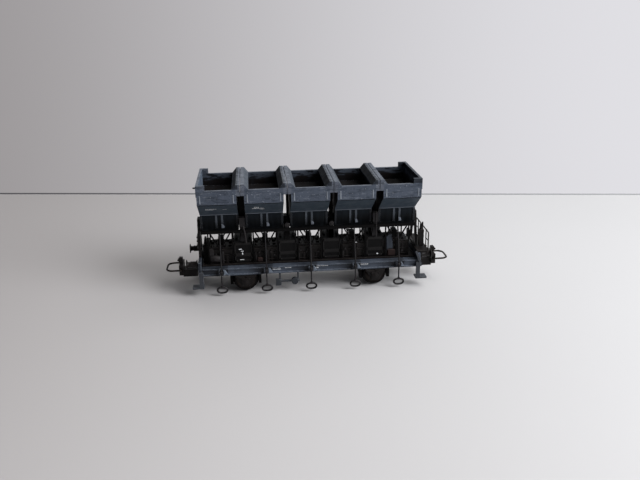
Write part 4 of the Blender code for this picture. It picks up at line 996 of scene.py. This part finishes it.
# %% Buffers
BUFFER_X, BUFFER_Y, BUFFER_Z = 52.95, 11.0, 15.5
BOLT_RING = ((1.15, 1.15), (-1.15, 1.15), (1.15, -1.15), (-1.15, -1.15))
for end, way in ENDS.items():
    base = way * BUFFER_X
    for side, across in SIDES.items():
        shape = [
            (0.1, 0.0), (1.6, 0.0), (1.7, 0.1), (1.7, 0.5), (1.5, 0.62), (1.38, 0.8), (1.36, 2.6),
            (1.46, 2.7), (1.46, 3.1), (1.36, 3.2), (1.18, 3.25), (1.18, 4.3), (1.3, 4.5), (2.1, 4.75),
            (2.3, 4.85), (2.3, 5.0), (2.15, 5.14), (1.4, 5.22), (0.1, 5.25),
        ]
        profile = [(r, way * h) for r, h in shape]
        bolts = []
        y = across * BUFFER_Y
        for u, v in BOLT_RING:
            head = [(0.03, 0.0), (0.26, 0.0), (0.26, way * 0.2), (0.03, way * 0.26)]
            bolts.append(turned(head, (base + way * 0.35, y + u, BUFFER_Z + v), "X", 6))
        plate_x = sorted((base, base + way * 0.35))
        plate = cuboid((plate_x[0], y - 1.6, 13.9), (plate_x[1], y + 1.6, 17.1), 0.08)
        name = f"buffer_{end}_{side}"
        shapes = [turned(profile, (base, y, BUFFER_Z), "X", 36), plate] + bolts
        piece(name + "_turned", shapes, BROWN, "frame", [name])

# %% [markdown]
# The railing at the right end is one bent rail on two more posts, with a round foot under each post.
# The loop of a coupler is one wire too, so it is half of a path and the same half back again.

# %% Railing and coupler loops
LOOP_X, LOOP_Z = 61.4, 10.4
POST_Y = 7.6
low, high = box("railing")
rail_x = (low[0] + high[0]) / 2
half, foot, top = high[1] - 0.32, low[2], high[2] - 0.32
rail = [(rail_x, half, foot), (rail_x, half, top), (rail_x, -half, top), (rail_x, -half, foot)]
shapes = [tube(bent(rail, 1.1, 7), 0.31, 10, across=(1.0, 0.02, 0.03))]
shapes += [tube([(rail_x, y, foot), (rail_x, y, top)], 0.26, 8) for y in (-POST_Y, POST_Y)]
for y in (-12.1, 7.7):
    bar = [(rail_x, y, foot + 4.2), (rail_x, y + 4.4, foot + 4.2)]
    shapes.append(tube(bar, 0.2, 8, across=(1, 0, 0.01)))
for y in (-half, half, -POST_Y, POST_Y):
    flange = [(0.05, 0.0), (0.62, 0.0), (0.62, 0.25), (0.4, 0.42), (0.05, 0.42)]
    shapes.append(turned(flange, (rail_x, y, foot - 0.02), "Z", 14))
piece("railing_wire", shapes, WIRE, "frame", ["railing"])
for end, way in ENDS.items():
    half_loop = [(0, 4.1), (0, 5.3), (4.9, 5.25), (6.6, 4.1), (6.95, 2.2)]
    flat = half_loop + [(x, -y) for x, y in reversed(half_loop)]
    points = [(way * LOOP_X + way * x, y, LOOP_Z) for x, y in flat]
    loop = tube(bent(points, 0.9, 6), 0.43, 12, across=(0.02, 0.03, 1.0))
    name = f"coupler_loop_{end}"
    piece(name + "_wire", [loop], WIRE, name, [name])
print("wire pieces done")

# %% [markdown]
# ## Small parts of a hopper
# A thin bead runs along the free edge of each hood, and a fold along the foot of each sloping panel,
# whose pale tone is a painted highlight on the crease. A fine black line under each band is a painted
# shadow where the band steps out. A short upright rib stands at both ends of a band, its pale tone a
# painted highlight on that edge, and a small foot under the casing. All are tubes and slabs that ride
# on the hopper, so they tip with it.

# %% Beads, folds and ribs
BAND_RIB_LOW, BAND_RIB_TOP = 46.2, 49.9
# Pale trim: on the folds this tone is a painted highlight along the crease.
SMALL_GREY = plastic(
    "trim_plastic", (0.145, 0.160, 0.188), PALE, (0.05, 0.06, 0.07), 0.42, wear_and_highlight=0.6, dust=0.3, cloud=0.4,
    streak=0.2,
)
HOOD_GREY = plastic(
    "hood_plastic", HOOD, PALE, (0.03, 0.035, 0.042), 0.44, wear_and_highlight=0.6, dust=0.30, cloud=0.4, streak=0.2,
)
# Painted highlights: the band ribs are this pale to stand for the light on the edge where the hood's apron
# meets the band.
HIGHLIGHT_TAB_GREY = plastic(
    "highlight_tab_plastic", (0.23, 0.25, 0.28), (0.5, 0.52, 0.55), (0.08, 0.09, 0.11), 0.42, wear_and_highlight=0.6, dust=0.3,
    cloud=0.6, streak=0.5,
)


def shade_line(x, way):
    """A fine black line of painted shadow where the band steps out over the sloping panel, a little wavy."""
    t = np.linspace(-HOPPER_HALF + 0.3, HOPPER_HALF - 0.3, 17)
    z = BAND_FOOT - 0.15 + 0.07 * np.sin(1.3 * t + x)
    path = np.stack([x + t, np.full_like(t, way * (RIM_Y - 0.10)), z], 1)
    return tube(path, 0.15 + 0.03 * np.sin(0.9 * t), 8, across=(0.0, 0.3, 1.0))


def hood_bead(x):
    """A flat bead along the hood's edge: up the near apron, across the top and down the far apron."""
    top, side, foot = HOOD_TOP - 0.40, RIM_Y - 0.42, RIM_Z - 2.6
    path = [(x, -side, foot), (x, -side, top), (x, side, top), (x, side, foot)]
    return tube(bent(path, 0.7, 4), 0.115, 8, across=(1.0, 0.02, 0.03))


def fold(x, way):
    """A straight bead on the crease between the sloping panel and the casing."""
    y, z = way * (CREASE_Y + 0.02), CREASE_Z - 0.05
    path = [(x - HOPPER_HALF + 0.1, y, z), (x + HOPPER_HALF - 0.1, y, z)]
    return tube(path, 0.20, 8, across=(0.0, 0.3, 1.0))


def band_rib(x, way):
    """A slab whose outline is a slightly slanting strip on the band's face, with a small foot."""
    y = between(way, RIM_Y - 0.05, RIM_Y + 0.14)
    low, top = BAND_RIB_LOW, BAND_RIB_TOP
    outline = [(low, x - 0.25), (low, x + 0.45), (46.7, x + 0.28), (top, x + 0.22), (top, x - 0.22)]
    return slab(outline, y[0], y[1], "Y", 0.05)


def small_foot(x, way):
    """A slab on the casing's foot, whose outline is a low block with one slanting side."""
    y = between(way, casing_y(31.6) + 0.1, casing_y(31.6) + 0.75)
    outline = [(31.0, x - 0.45), (31.0, x + 0.85), (31.6, x + 0.95), (32.6, x + 0.5), (32.9, x - 0.45)]
    return slab(outline, y[0], y[1], "Y", 0.12)


for number, x in enumerate(HOPPER_X, 1):
    body = f"hopper_{number}"
    beads = []
    if number > 1:
        beads.append(hood_bead(x - PITCH / 2 + 0.155))
    if number < 5:
        beads.append(hood_bead(x + PITCH / 2 - 0.155))
    piece(f"hopper_{number}_hood_beads", beads, HOOD_GREY, body, ())
    trims = [fold(x, way) for way in (NEAR, FAR)]
    trims += [small_foot(x + 1.35, way) for way in (NEAR, FAR)]
    piece(f"hopper_{number}_trims", trims, SMALL_GREY, body, ())
    highlight_tabs = [band_rib(x + end * (HOPPER_HALF - 1.4), way) for end in (-1, 1) for way in (NEAR, FAR)]
    piece(f"hopper_{number}_tabs", highlight_tabs, HIGHLIGHT_TAB_GREY, body, ())
    shades = [shade_line(x, way) for way in (NEAR, FAR)]
    piece(f"hopper_{number}_shade_lines", shades, DEEP, body, ())

# %% [markdown]
# ## Painted marks
# The real wagon has small white lettering. Here plain dashes and one oval, a fraction of a millimetre
# high, stand for it. Each dash is a thin slab that lies on its panel: on the sloping panel the slab is
# built flat, then turned to the panel's slope.

# %% Marks
BEAM_FACE_Y = SOLEBAR_Y - 0.78  # the web of a beam, behind its edges
PLATE_Y = 7.39  # the plates on the sides of the pedestals


def mark(x, z, width, height, way=NEAR, y=BEAM_FACE_Y):
    """A dash on an upright face at y, from (x, z) to (x + width, z + height)."""
    low, high = between(way, y, y + 0.05)
    return slab([(z, x), (z, x + width), (z + height, x + width), (z + height, x)], low, high, "Y", 0.015)


def on_panel(x, up, width, height, way=NEAR):
    """A mark on the sloping panel: up is measured along the slope from the fold."""
    rise = np.array([0.0, way * (RIM_Y - 0.5 - CREASE_Y), BAND_FOOT - 0.25 - CREASE_Z])
    rise /= np.linalg.norm(rise)
    out = np.array([0.0, way * rise[2], -abs(rise[1])])
    start = np.array([x, way * CREASE_Y, CREASE_Z])
    points, faces = slab([(0, 0), (width, 0), (width, height), (0, height)], 0.0, 0.05, "Z", 0.015)
    flat = start + np.outer(points[:, 0], [1.0, 0, 0]) + np.outer(points[:, 1] + up, rise)
    flat += np.outer(points[:, 2] - 0.01, out)
    return flat, faces if way == FAR else [face[::-1] for face in faces]


def rows_of_dashes(rows, x, place, way, gap=0.22):
    """Dashes for each row, which is (start, height of the row, widths of its dashes, height of a dash)."""
    shapes = []
    for start, up, widths, height in rows:
        at = x + start
        for width in widths:
            shapes.append(place(at, up, width, height, way))
            at += width + gap
    return shapes


PANEL_ROWS = {
    1: [
        (-5.6, 7.6, (0.7, 0.5, 0.9, 0.4, 0.8, 0.6), 0.5), (-5.6, 6.6, (0.6, 0.8, 0.5, 0.9), 0.4),
        (2.2, 6.9, (0.5, 0.3, 0.6), 0.3),
    ],
    2: [
        (-4.6, 7.6, (0.5, 0.8, 0.4), 1.0), (-5.4, 6.3, (0.6, 0.9, 0.5, 0.6, 1.0, 0.4), 0.8),
        (-2.0, 5.3, (0.4, 0.9, 0.4), 0.5),
    ],
}
BEAM_ROWS = [
    (-18.4, 12.2, (1.8, 0.5, 1.1), 0.26), (-18.2, 11.4, (1.4, 0.4, 1.6), 0.30),
    (-12.2, 11.9, (0.8, 0.7, 0.9), 0.40), (2.6, 12.0, (0.6, 1.0, 0.5, 0.9, 0.6, 0.8), 0.62),
    (2.0, 11.1, (0.6, 0.8), 0.40), (24.2, 11.9, (0.5, 0.6, 0.8, 0.6), 0.34),
]
for number, rows in PANEL_ROWS.items():
    body = f"hopper_{number}"
    for side, way in SIDES.items():
        shapes = rows_of_dashes(rows, HOPPER_X[number - 1], on_panel, way)
        piece(f"{body}_marks_{side}", shapes, MARK_WHITE, body)
for side, way in SIDES.items():
    shapes = rows_of_dashes(BEAM_ROWS, 0.0, mark, way)
    turn = np.linspace(0, 2 * np.pi, 24, endpoint=False)
    oval_y = np.full(24, way * (BEAM_FACE_Y + 0.01))
    oval = np.stack([25.6 + 1.9 * np.cos(turn), oval_y, 12.05 + 0.42 * np.sin(turn)], 1)
    shapes.append(tube(oval, 0.06, 6, True, across=(0.02, 1.0, 0.03)))
    piece(f"beam_marks_{side}", shapes, MARK_WHITE, "frame")

# %% [markdown]
# ## Gear on the deck
# Between the pedestals the real wagon is packed with gear: beds for the rockers, rods, cranks, pipes
# and small boxes, all in dark brown with a few grey parts. Each bay gets the same kinds in another
# order, so the row looks alike but not copied. Everything is a slab, a tube or a turned shape.

# %% Gear in the bays
rng = np.random.default_rng(7)


def bolt_head(x, y, z, way, size=0.32):
    """A six-sided head, turned about Y, that faces outwards."""
    head = [(0.03, 0.0), (size, 0.0), (size, way * 0.2), (size * 0.6, way * 0.3), (0.03, way * 0.3)]
    return turned(head, (x, y, z), "Y", 6)


def bay_gear(x, way):
    """Posts, pipes, bolts and a crank on one long side of a bed, by a seeded random draw."""
    face = way * 6.6
    browns, greys = [], []
    for k, at in enumerate(np.linspace(-4.9, 4.9, 6) + rng.uniform(-0.3, 0.3, 6)):
        wide, deep, tall = rng.uniform(0.5, 1.1), rng.uniform(0.35, 0.8), rng.uniform(3.2, 6.4)
        y = sorted((face - way * 0.1, face + way * deep))
        post = cuboid((x + at - wide / 2, y[0], FLOOR + 0.1), (x + at + wide / 2, y[1], FLOOR + tall), 0.1)
        (browns if k % 3 else greys).append(post)
    for z in (FLOOR + 1.2, FLOOR + 3.9):
        near, far = face + way * 0.5, face + way * 0.6
        pipe = [
            (x - 5.7, near, z), (x - 2.0, far, z + rng.uniform(-0.5, 0.9)),
            (x + 1.8, near, z + rng.uniform(-0.6, 0.6)), (x + 5.7, near, z),
        ]
        browns.append(tube(bent(pipe, 1.0), 0.26, 8, across=(0.02, 0.3, 1.0)))
    for at in rng.uniform(-4.6, 4.6, 4):
        height, size = FLOOR + rng.uniform(1.5, 5.6), rng.uniform(0.28, 0.5)
        greys.append(bolt_head(x + at, face + way * 0.72, height, way, size))
    crank = x + rng.uniform(-2.5, 2.5)
    top = crank + rng.uniform(-1.4, 1.4)
    y = sorted((face + way * 0.35, face + way * 0.8))
    low_z, top_z = FLOOR + 0.4, FLOOR + 6.2
    outline = [(low_z, crank - 0.5), (low_z, crank + 0.5), (top_z, top + 0.3), (top_z, top - 0.3)]
    browns.append(slab(outline, y[0], y[1], "Y", 0.08))
    return browns, greys


def bed_top(x):
    """Two rails, a middle block and short studs on a rocker bed."""
    half = 5.6
    shapes = []
    for y in (-5.4, 5.4):
        shapes.append(cuboid((x - half, y - 0.5, BED_TOP - 0.1), (x + half, y + 0.5, BED_TOP + 0.7), 0.12))
    shapes.append(cuboid((x - 6.15, -5.2, FLOOR), (x + 6.15, 5.2, BED_TOP - 0.5), 0.1))
    shapes.append(cuboid((x - 2.2, -3.6, BED_TOP - 0.1), (x + 2.2, 3.6, BED_TOP + 0.9), 0.2))
    for u, v in ((-4.2, -2.6), (4.2, -2.6), (-4.2, 2.6), (4.2, 2.6)):
        stud = [(0.05, -0.1), (0.8, -0.1), (0.8, 0.6), (0.55, 1.0), (0.05, 1.05)]
        shapes.append(turned(stud, (x + u, v, BED_TOP), "Z", 16))
    for y in (-6.2, 6.2):
        steps = ((-half, 0.4), (-1, 0.8), (2, 0.3), (half, 0.5))
        pipe = bent([(x + at, y, BED_TOP + up) for at, up in steps], 1.5)
        shapes.append(tube(pipe, 0.22, 8, across=(0.02, 0.3, 1)))
    return shapes


for number, x in enumerate(HOPPER_X, 1):
    browns, greys = bed_top(x), []
    for way in (NEAR, FAR):
        more, grey = bay_gear(x, way)
        browns += more
        greys += grey
    piece(f"bay_{number}_gear", browns, BROWN, "frame", ())
    piece(f"bay_{number}_fittings", greys, BRACKET, "frame", ())

# %% [markdown]
# Dark plates stand in the gaps between the hoppers and stop them when they tip, and dark posts stand
# on the beds. They close the view through the gaps, as on the real wagon. Each plate keeps clear of
# both hoppers, which lean in front of and behind it, so its width and height differ from gap to gap.

# %% Stop plates in the gaps, and posts under the hoppers
STOPS = [(-1.6, 1.6, 45.9), (0.15, 1.35, 46.9), (-0.45, 1.35, 46.9), (-1.35, 1.35, 45.9)]
shapes = []
for x, (low_x, high_x, top) in zip(DIVIDER_X, STOPS):
    shapes.append(cuboid((x + low_x, -2.0, 31.0), (x + high_x, 2.0, top), 0.15, 0.4))
    for y in (-2.15, 1.75):
        for z in (34.0, 38.5, 43.0):
            shapes.append(cuboid((x + low_x, y, z), (x + high_x, y + 0.4, z + 0.5), 0.1))
shapes.append(cuboid((-50.3, -6.4, FLOOR), (-47.6, 6.4, 22.4), 0.2, 0.4))
for x in HOPPER_X:
    shapes.append(cuboid((x - 1.3, -2.6, BED_TOP + 0.8), (x + 1.3, 2.6, 25.2), 0.2, 0.4))
    for at in (-7.4, 7.4):
        shapes.append(cuboid((x + at - 0.5, -2.2, BED_TOP - 0.1), (x + at + 0.5, 2.2, 24.6), 0.15))
piece("stop_plates", shapes, DEEP, "frame", ())

# %% [markdown]
# The side of a pedestal is a plate with raised rims, a cross strip and two bolts. The rims are slabs
# a quarter of a millimetre thick, which is enough to catch the light.

# %% Rims on the pedestals
bolts, rims = [], []
for x in DIVIDER_X:
    for way in (NEAR, FAR):
        y = between(way, 7.15, 7.38)
        for low, high in ((14.3, 15.3), (17.0, 18.6), (22.6, 23.8)):
            rims.append(cuboid((x - 4.1, y[0], low), (x + 4.1, y[1], high), 0.08))
        for at in (-3.9, 3.9):
            rims.append(cuboid((x + at - 0.35, y[0], 14.3), (x + at + 0.35, y[1], 23.8), 0.08))
        for at in (-3.1, 3.1):
            bolts.append(bolt_head(x + at, y[1] if way > 0 else y[0], 14.8, way, 0.25))
piece("pedestal_rims", rims, PEDESTAL, "frame", ())
piece("pedestal_bolts", bolts, BRACKET, "frame", ())

# %% [markdown]
# A few parts stand out from the brown row, and each is seen once: a cylinder at the left end, a grey
# plate, two rust-coloured boxes, a peg on the first gable, caps on the middle rollers, and struts
# under the brackets.

# %% The parts that stand out
FITTING = plastic(
    "fitting_plastic", (0.040, 0.047, 0.060), (0.16, 0.18, 0.19), (0.014, 0.016, 0.018), 0.45, wear_and_highlight=0.7,
    dust=0.15, cloud=0.5,
)
plate_points = [(16.2, 37.2), (16.2, 40.6), (24.6, 39.6), (25.0, 38.4), (23.6, 37.0)]
grey_plate = slab(plate_points, -7.35, -6.75, "Y", 0.15)
left_gear = [cuboid((-47.6, -7.4, 15.0), (-45.4, -6.8, 21.4), 0.15, 0.4)]
cylinder = [(0.1, -2.4), (1.35, -2.4), (1.6, -2.1), (1.6, 1.9), (1.35, 2.3), (0.5, 2.4), (0.1, 2.4)]
left_gear.append(turned(cylinder, (-44.6, -7.4, 16.4), "X", 24))
piece("left_gear", left_gear, BRACKET, "frame", ())
piece("grey_fittings", [grey_plate], FITTING, "frame", ())
boxes = [
    cuboid((37.4, -8.0, 14.1), (42.8, -6.8, 17.2), 0.25, 0.5),
    cuboid((-25.2, -7.9, 14.1), (-22.4, -6.8, 16.0), 0.2, 0.4),
]
piece("rusty_boxes", boxes, RUST, "frame", ())
spots = (
    (-33.6, 20.4, 1.5, 0.4), (-32.6, 19.4, 1.2, 0.4), (-32.2, 17.9, 0.5, 1.0), (-33.2, 15.2, 1.9, 0.3),
    (32.2, 15.0, 0.9, 0.6), (21.8, 21.4, 1.0, 0.25),
)
piece("deck_marks", [mark(*spot, NEAR, PLATE_Y) for spot in spots], MARK_WHITE, "frame")
peg = [(0.05, 0.0), (0.36, 0.0), (0.36, -1.0), (0.25, -1.15), (0.05, -1.15)]
piece("gable_peg", [turned(peg, (-51.0, -16.2, 53.4), "X", 12)], BROWN, "hopper_1")
dome = [(0.05, 0.0), (1.2, 0.0), (1.25, 0.1), (1.1, 0.28), (0.5, 0.3), (0.4, 0.45), (0.05, 0.45)]
caps = []
for x in DIVIDER_X[1:3]:
    for way in (NEAR, FAR):
        caps.append(turned([(r, way * h) for r, h in dome], (x, way * 7.08, 31.45), "Y", 24))
piece("roller_caps", caps, BRACKET, "frame")
legs, rods = [], []
first, last = DIVIDER_X[0], DIVIDER_X[3]
for way in (NEAR, FAR):
    leg = bent(
        [(first + 0.4, way * 8.0, 32.2), (first + 1.2, way * 8.4, 28.6), (first + 1.5, way * 8.4, 24.0)],
        1.0,
    )
    legs.append(tube(leg, 0.42, 8, across=(0.02, 1, 0.03)))
    rod = [(last + 0.2, way * 8.35, 36.8), (last + 0.4, way * 8.35, 24.2)]
    rods.append(tube(rod, 0.24, 8, across=(0.02, 1, 0.03)))
piece("bracket_legs", legs + rods, BRACKET, "frame")
print("gear pieces done", len(PIECES))

# %% [markdown]
# ## The camera, the table and the light
# The camera stands a little to the left of the middle, looks down by about 20 degrees, and is turned
# to the right by about 6. We work its three directions out from those angles and put them into its
# matrix as columns.

# %% Camera
CAMERA_PLACE = (-0.02532, -0.30728, 0.13019)
camera_data = bpy.data.cameras.new("camera")
camera_data.sensor_width = 36.0
camera_data.lens = 37.82
camera_data.dof.use_dof = False
camera_data.clip_start = 0.005
camera = bpy.data.objects.new("camera", camera_data)
bpy.context.scene.collection.objects.link(camera)
pitch, yaw, roll = math.radians(19.5), math.radians(5.7588), math.radians(-0.6364)
ahead = Vector((math.sin(yaw) * math.cos(pitch), math.cos(yaw) * math.cos(pitch), -math.sin(pitch)))
right = Vector((math.cos(yaw), -math.sin(yaw), 0.0))
above = right.cross(ahead)
turned_right = math.cos(roll) * right + math.sin(roll) * above
turned_up = -math.sin(roll) * right + math.cos(roll) * above
view_axes = Matrix((turned_right, turned_up, -ahead)).transposed().to_4x4()
camera.matrix_world = Matrix.Translation(CAMERA_PLACE) @ view_axes
bpy.context.scene.camera = camera
print("lens", camera_data.lens, "mm, at", CAMERA_PLACE)

# %% [markdown]
# The table is pale and a little glossy, and dimmer to the left, away from the window. It ends behind
# the wagon along a slanting edge. A narrow strip just past that edge is painted shade, darker than the
# wall, and draws the line where they meet. Both belong to the stage, not to the wagon.


# %% Table
def stage_material(name, colour, dim_colour, roughness, fade):
    """A clouded colour that fades to dim_colour from right to left; fade says how far."""
    material = bpy.data.materials.new(name)
    material.use_nodes = True
    n = Nodes(material.node_tree)
    shader = material.node_tree.nodes["Principled BSDF"]
    place = n.place()
    soft = n.noise(place, 6.0, 3.0, 0.5)
    clouded = n.mix(n.times(soft, 0.5), (*colour, 1.0), tuple(c * 0.9 for c in colour) + (1.0,))
    across = n.add("ShaderNodeSeparateXYZ", Vector=place)
    dim = n.ramp((across, 0), 0.16, -0.20)
    n.join(shader, "Base Color", n.mix(n.times(dim, fade), clouded, (*dim_colour, 1.0)))
    shader.inputs["Roughness"].default_value = roughness
    return material


# Two points of the table's far edge, in metres, and the directions along it and towards the front.
EDGE_LEFT, EDGE_RIGHT = np.array([-0.1659, 0.1830]), np.array([0.2168, 0.1266])
ALONG = (EDGE_RIGHT - EDGE_LEFT) / np.linalg.norm(EDGE_RIGHT - EDGE_LEFT)
FRONT = np.array([ALONG[1], -ALONG[0]])


def stage_strip(name, across, depth, z, material):
    """point(i, j) = the edge's left point + across(j) along the edge + depth(i) to the front, at z(i)."""
    u, v = np.meshgrid(across, depth)
    flat = EDGE_LEFT + u[..., None] * ALONG + v[..., None] * FRONT
    height = np.broadcast_to(np.asarray(z, float).reshape(-1, 1, 1), u.shape + (1,))
    points = np.concatenate([flat, height], -1)
    columns = len(across)
    i, j = np.meshgrid(np.arange(len(depth) - 1), np.arange(columns - 1), indexing="ij")
    first = i * columns + j
    faces = np.stack([first, first + columns, first + columns + 1, first + 1], -1).reshape(-1, 4)
    mesh = bpy.data.meshes.new(name)
    mesh.from_pydata(points.reshape(-1, 3).tolist(), [], faces.tolist())
    mesh.materials.append(material)
    made = bpy.data.objects.new(name, mesh)
    bpy.context.scene.collection.objects.link(made)
    made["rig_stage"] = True
    return made


span = np.linspace(-1.6, 1.9, 11)
table_grey = stage_material("pale_table", (0.60, 0.59, 0.59), (0.40, 0.372, 0.365), 0.46, 0.9)
stage_strip("table", span, np.linspace(0.0, 1.6, 9), np.zeros(9), table_grey)
# Painted shade: a dark strip where the wall meets the table.
wall_foot_shade_grey = stage_material("wall_foot_shade", (0.50, 0.50, 0.50), (0.15, 0.145, 0.15), 0.8, 1.0)
stage_strip("wall_foot", span, np.array([-0.0016, -0.0015]), np.array([0.0006, -0.002]), wall_foot_shade_grey)
print("table edge", round(float(np.linalg.norm(EDGE_RIGHT - EDGE_LEFT)), 3), "m between its two points")

# %% [markdown]
# The light is soft. A large window stands at the right front, a weaker ceiling lies above, and a faint
# fill comes from behind. The world is the wall: it grows paler to the right. The camera sees the
# wall's own tone, and the wagon gets a darker one, so that the shaded parts keep their depth.

# %% Light
world = bpy.data.worlds.new("pale room")
bpy.context.scene.world = world
world.use_nodes = True
w = Nodes(world.node_tree)
background = world.node_tree.nodes["Background"]
toward = w.add("ShaderNodeSeparateXYZ", Vector=(w.add("ShaderNodeTexCoord"), "Generated"))
wall_tone = w.mix(w.ramp((toward, 0), -0.55, 0.62), (0.300, 0.282, 0.285, 1.0), (0.76, 0.755, 0.79, 1.0))
room_tone = w.mix(w.ramp((toward, 0), -0.5, 0.9), (0.055, 0.055, 0.057, 1.0), (0.42, 0.44, 0.47, 1.0))
seen = (w.add("ShaderNodeLightPath"), "Is Camera Ray")
w.join(background, "Color", w.mix(seen, room_tone, wall_tone))


def area_light(name, place, aim, size, power, colour):
    """A rectangle of light at place, in metres, that faces aim; power is in watts."""
    light = bpy.data.lights.new(name, "AREA")
    light.shape = "RECTANGLE"
    light.size, light.size_y = size
    light.energy = power
    light.color = colour
    made = bpy.data.objects.new(name, light)
    bpy.context.scene.collection.objects.link(made)
    made.location = place
    made.rotation_euler = (Vector(aim) - Vector(place)).to_track_quat("-Z", "Y").to_euler()
    return made


area_light("window", (0.80, -0.50, 0.60), (0.0, 0.0, 0.03), (0.6, 0.7), 17.0, (0.95, 0.97, 1.0))
area_light("back fill", (-0.15, 0.75, 0.9), (0.0, 0.0, 0.03), (0.8, 0.8), 1.3, (1.0, 0.98, 0.96))
area_light("ceiling", (0.55, 0.10, 1.1), (0.0, 0.0, 0.0), (0.9, 0.9), 7.0, (1.0, 0.99, 0.97))
bpy.context.scene.view_settings.view_transform = "Standard"

# %% Finish
model_box = [list(corner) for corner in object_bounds()]
print("CAD box in mm", [[round(v / MM, 2) for v in c] for c in cad_box])
print("model box in mm", [[round(v / MM, 2) for v in c] for c in model_box])
print("pieces", len(PIECES), "faces", sum(PIECES.values()))
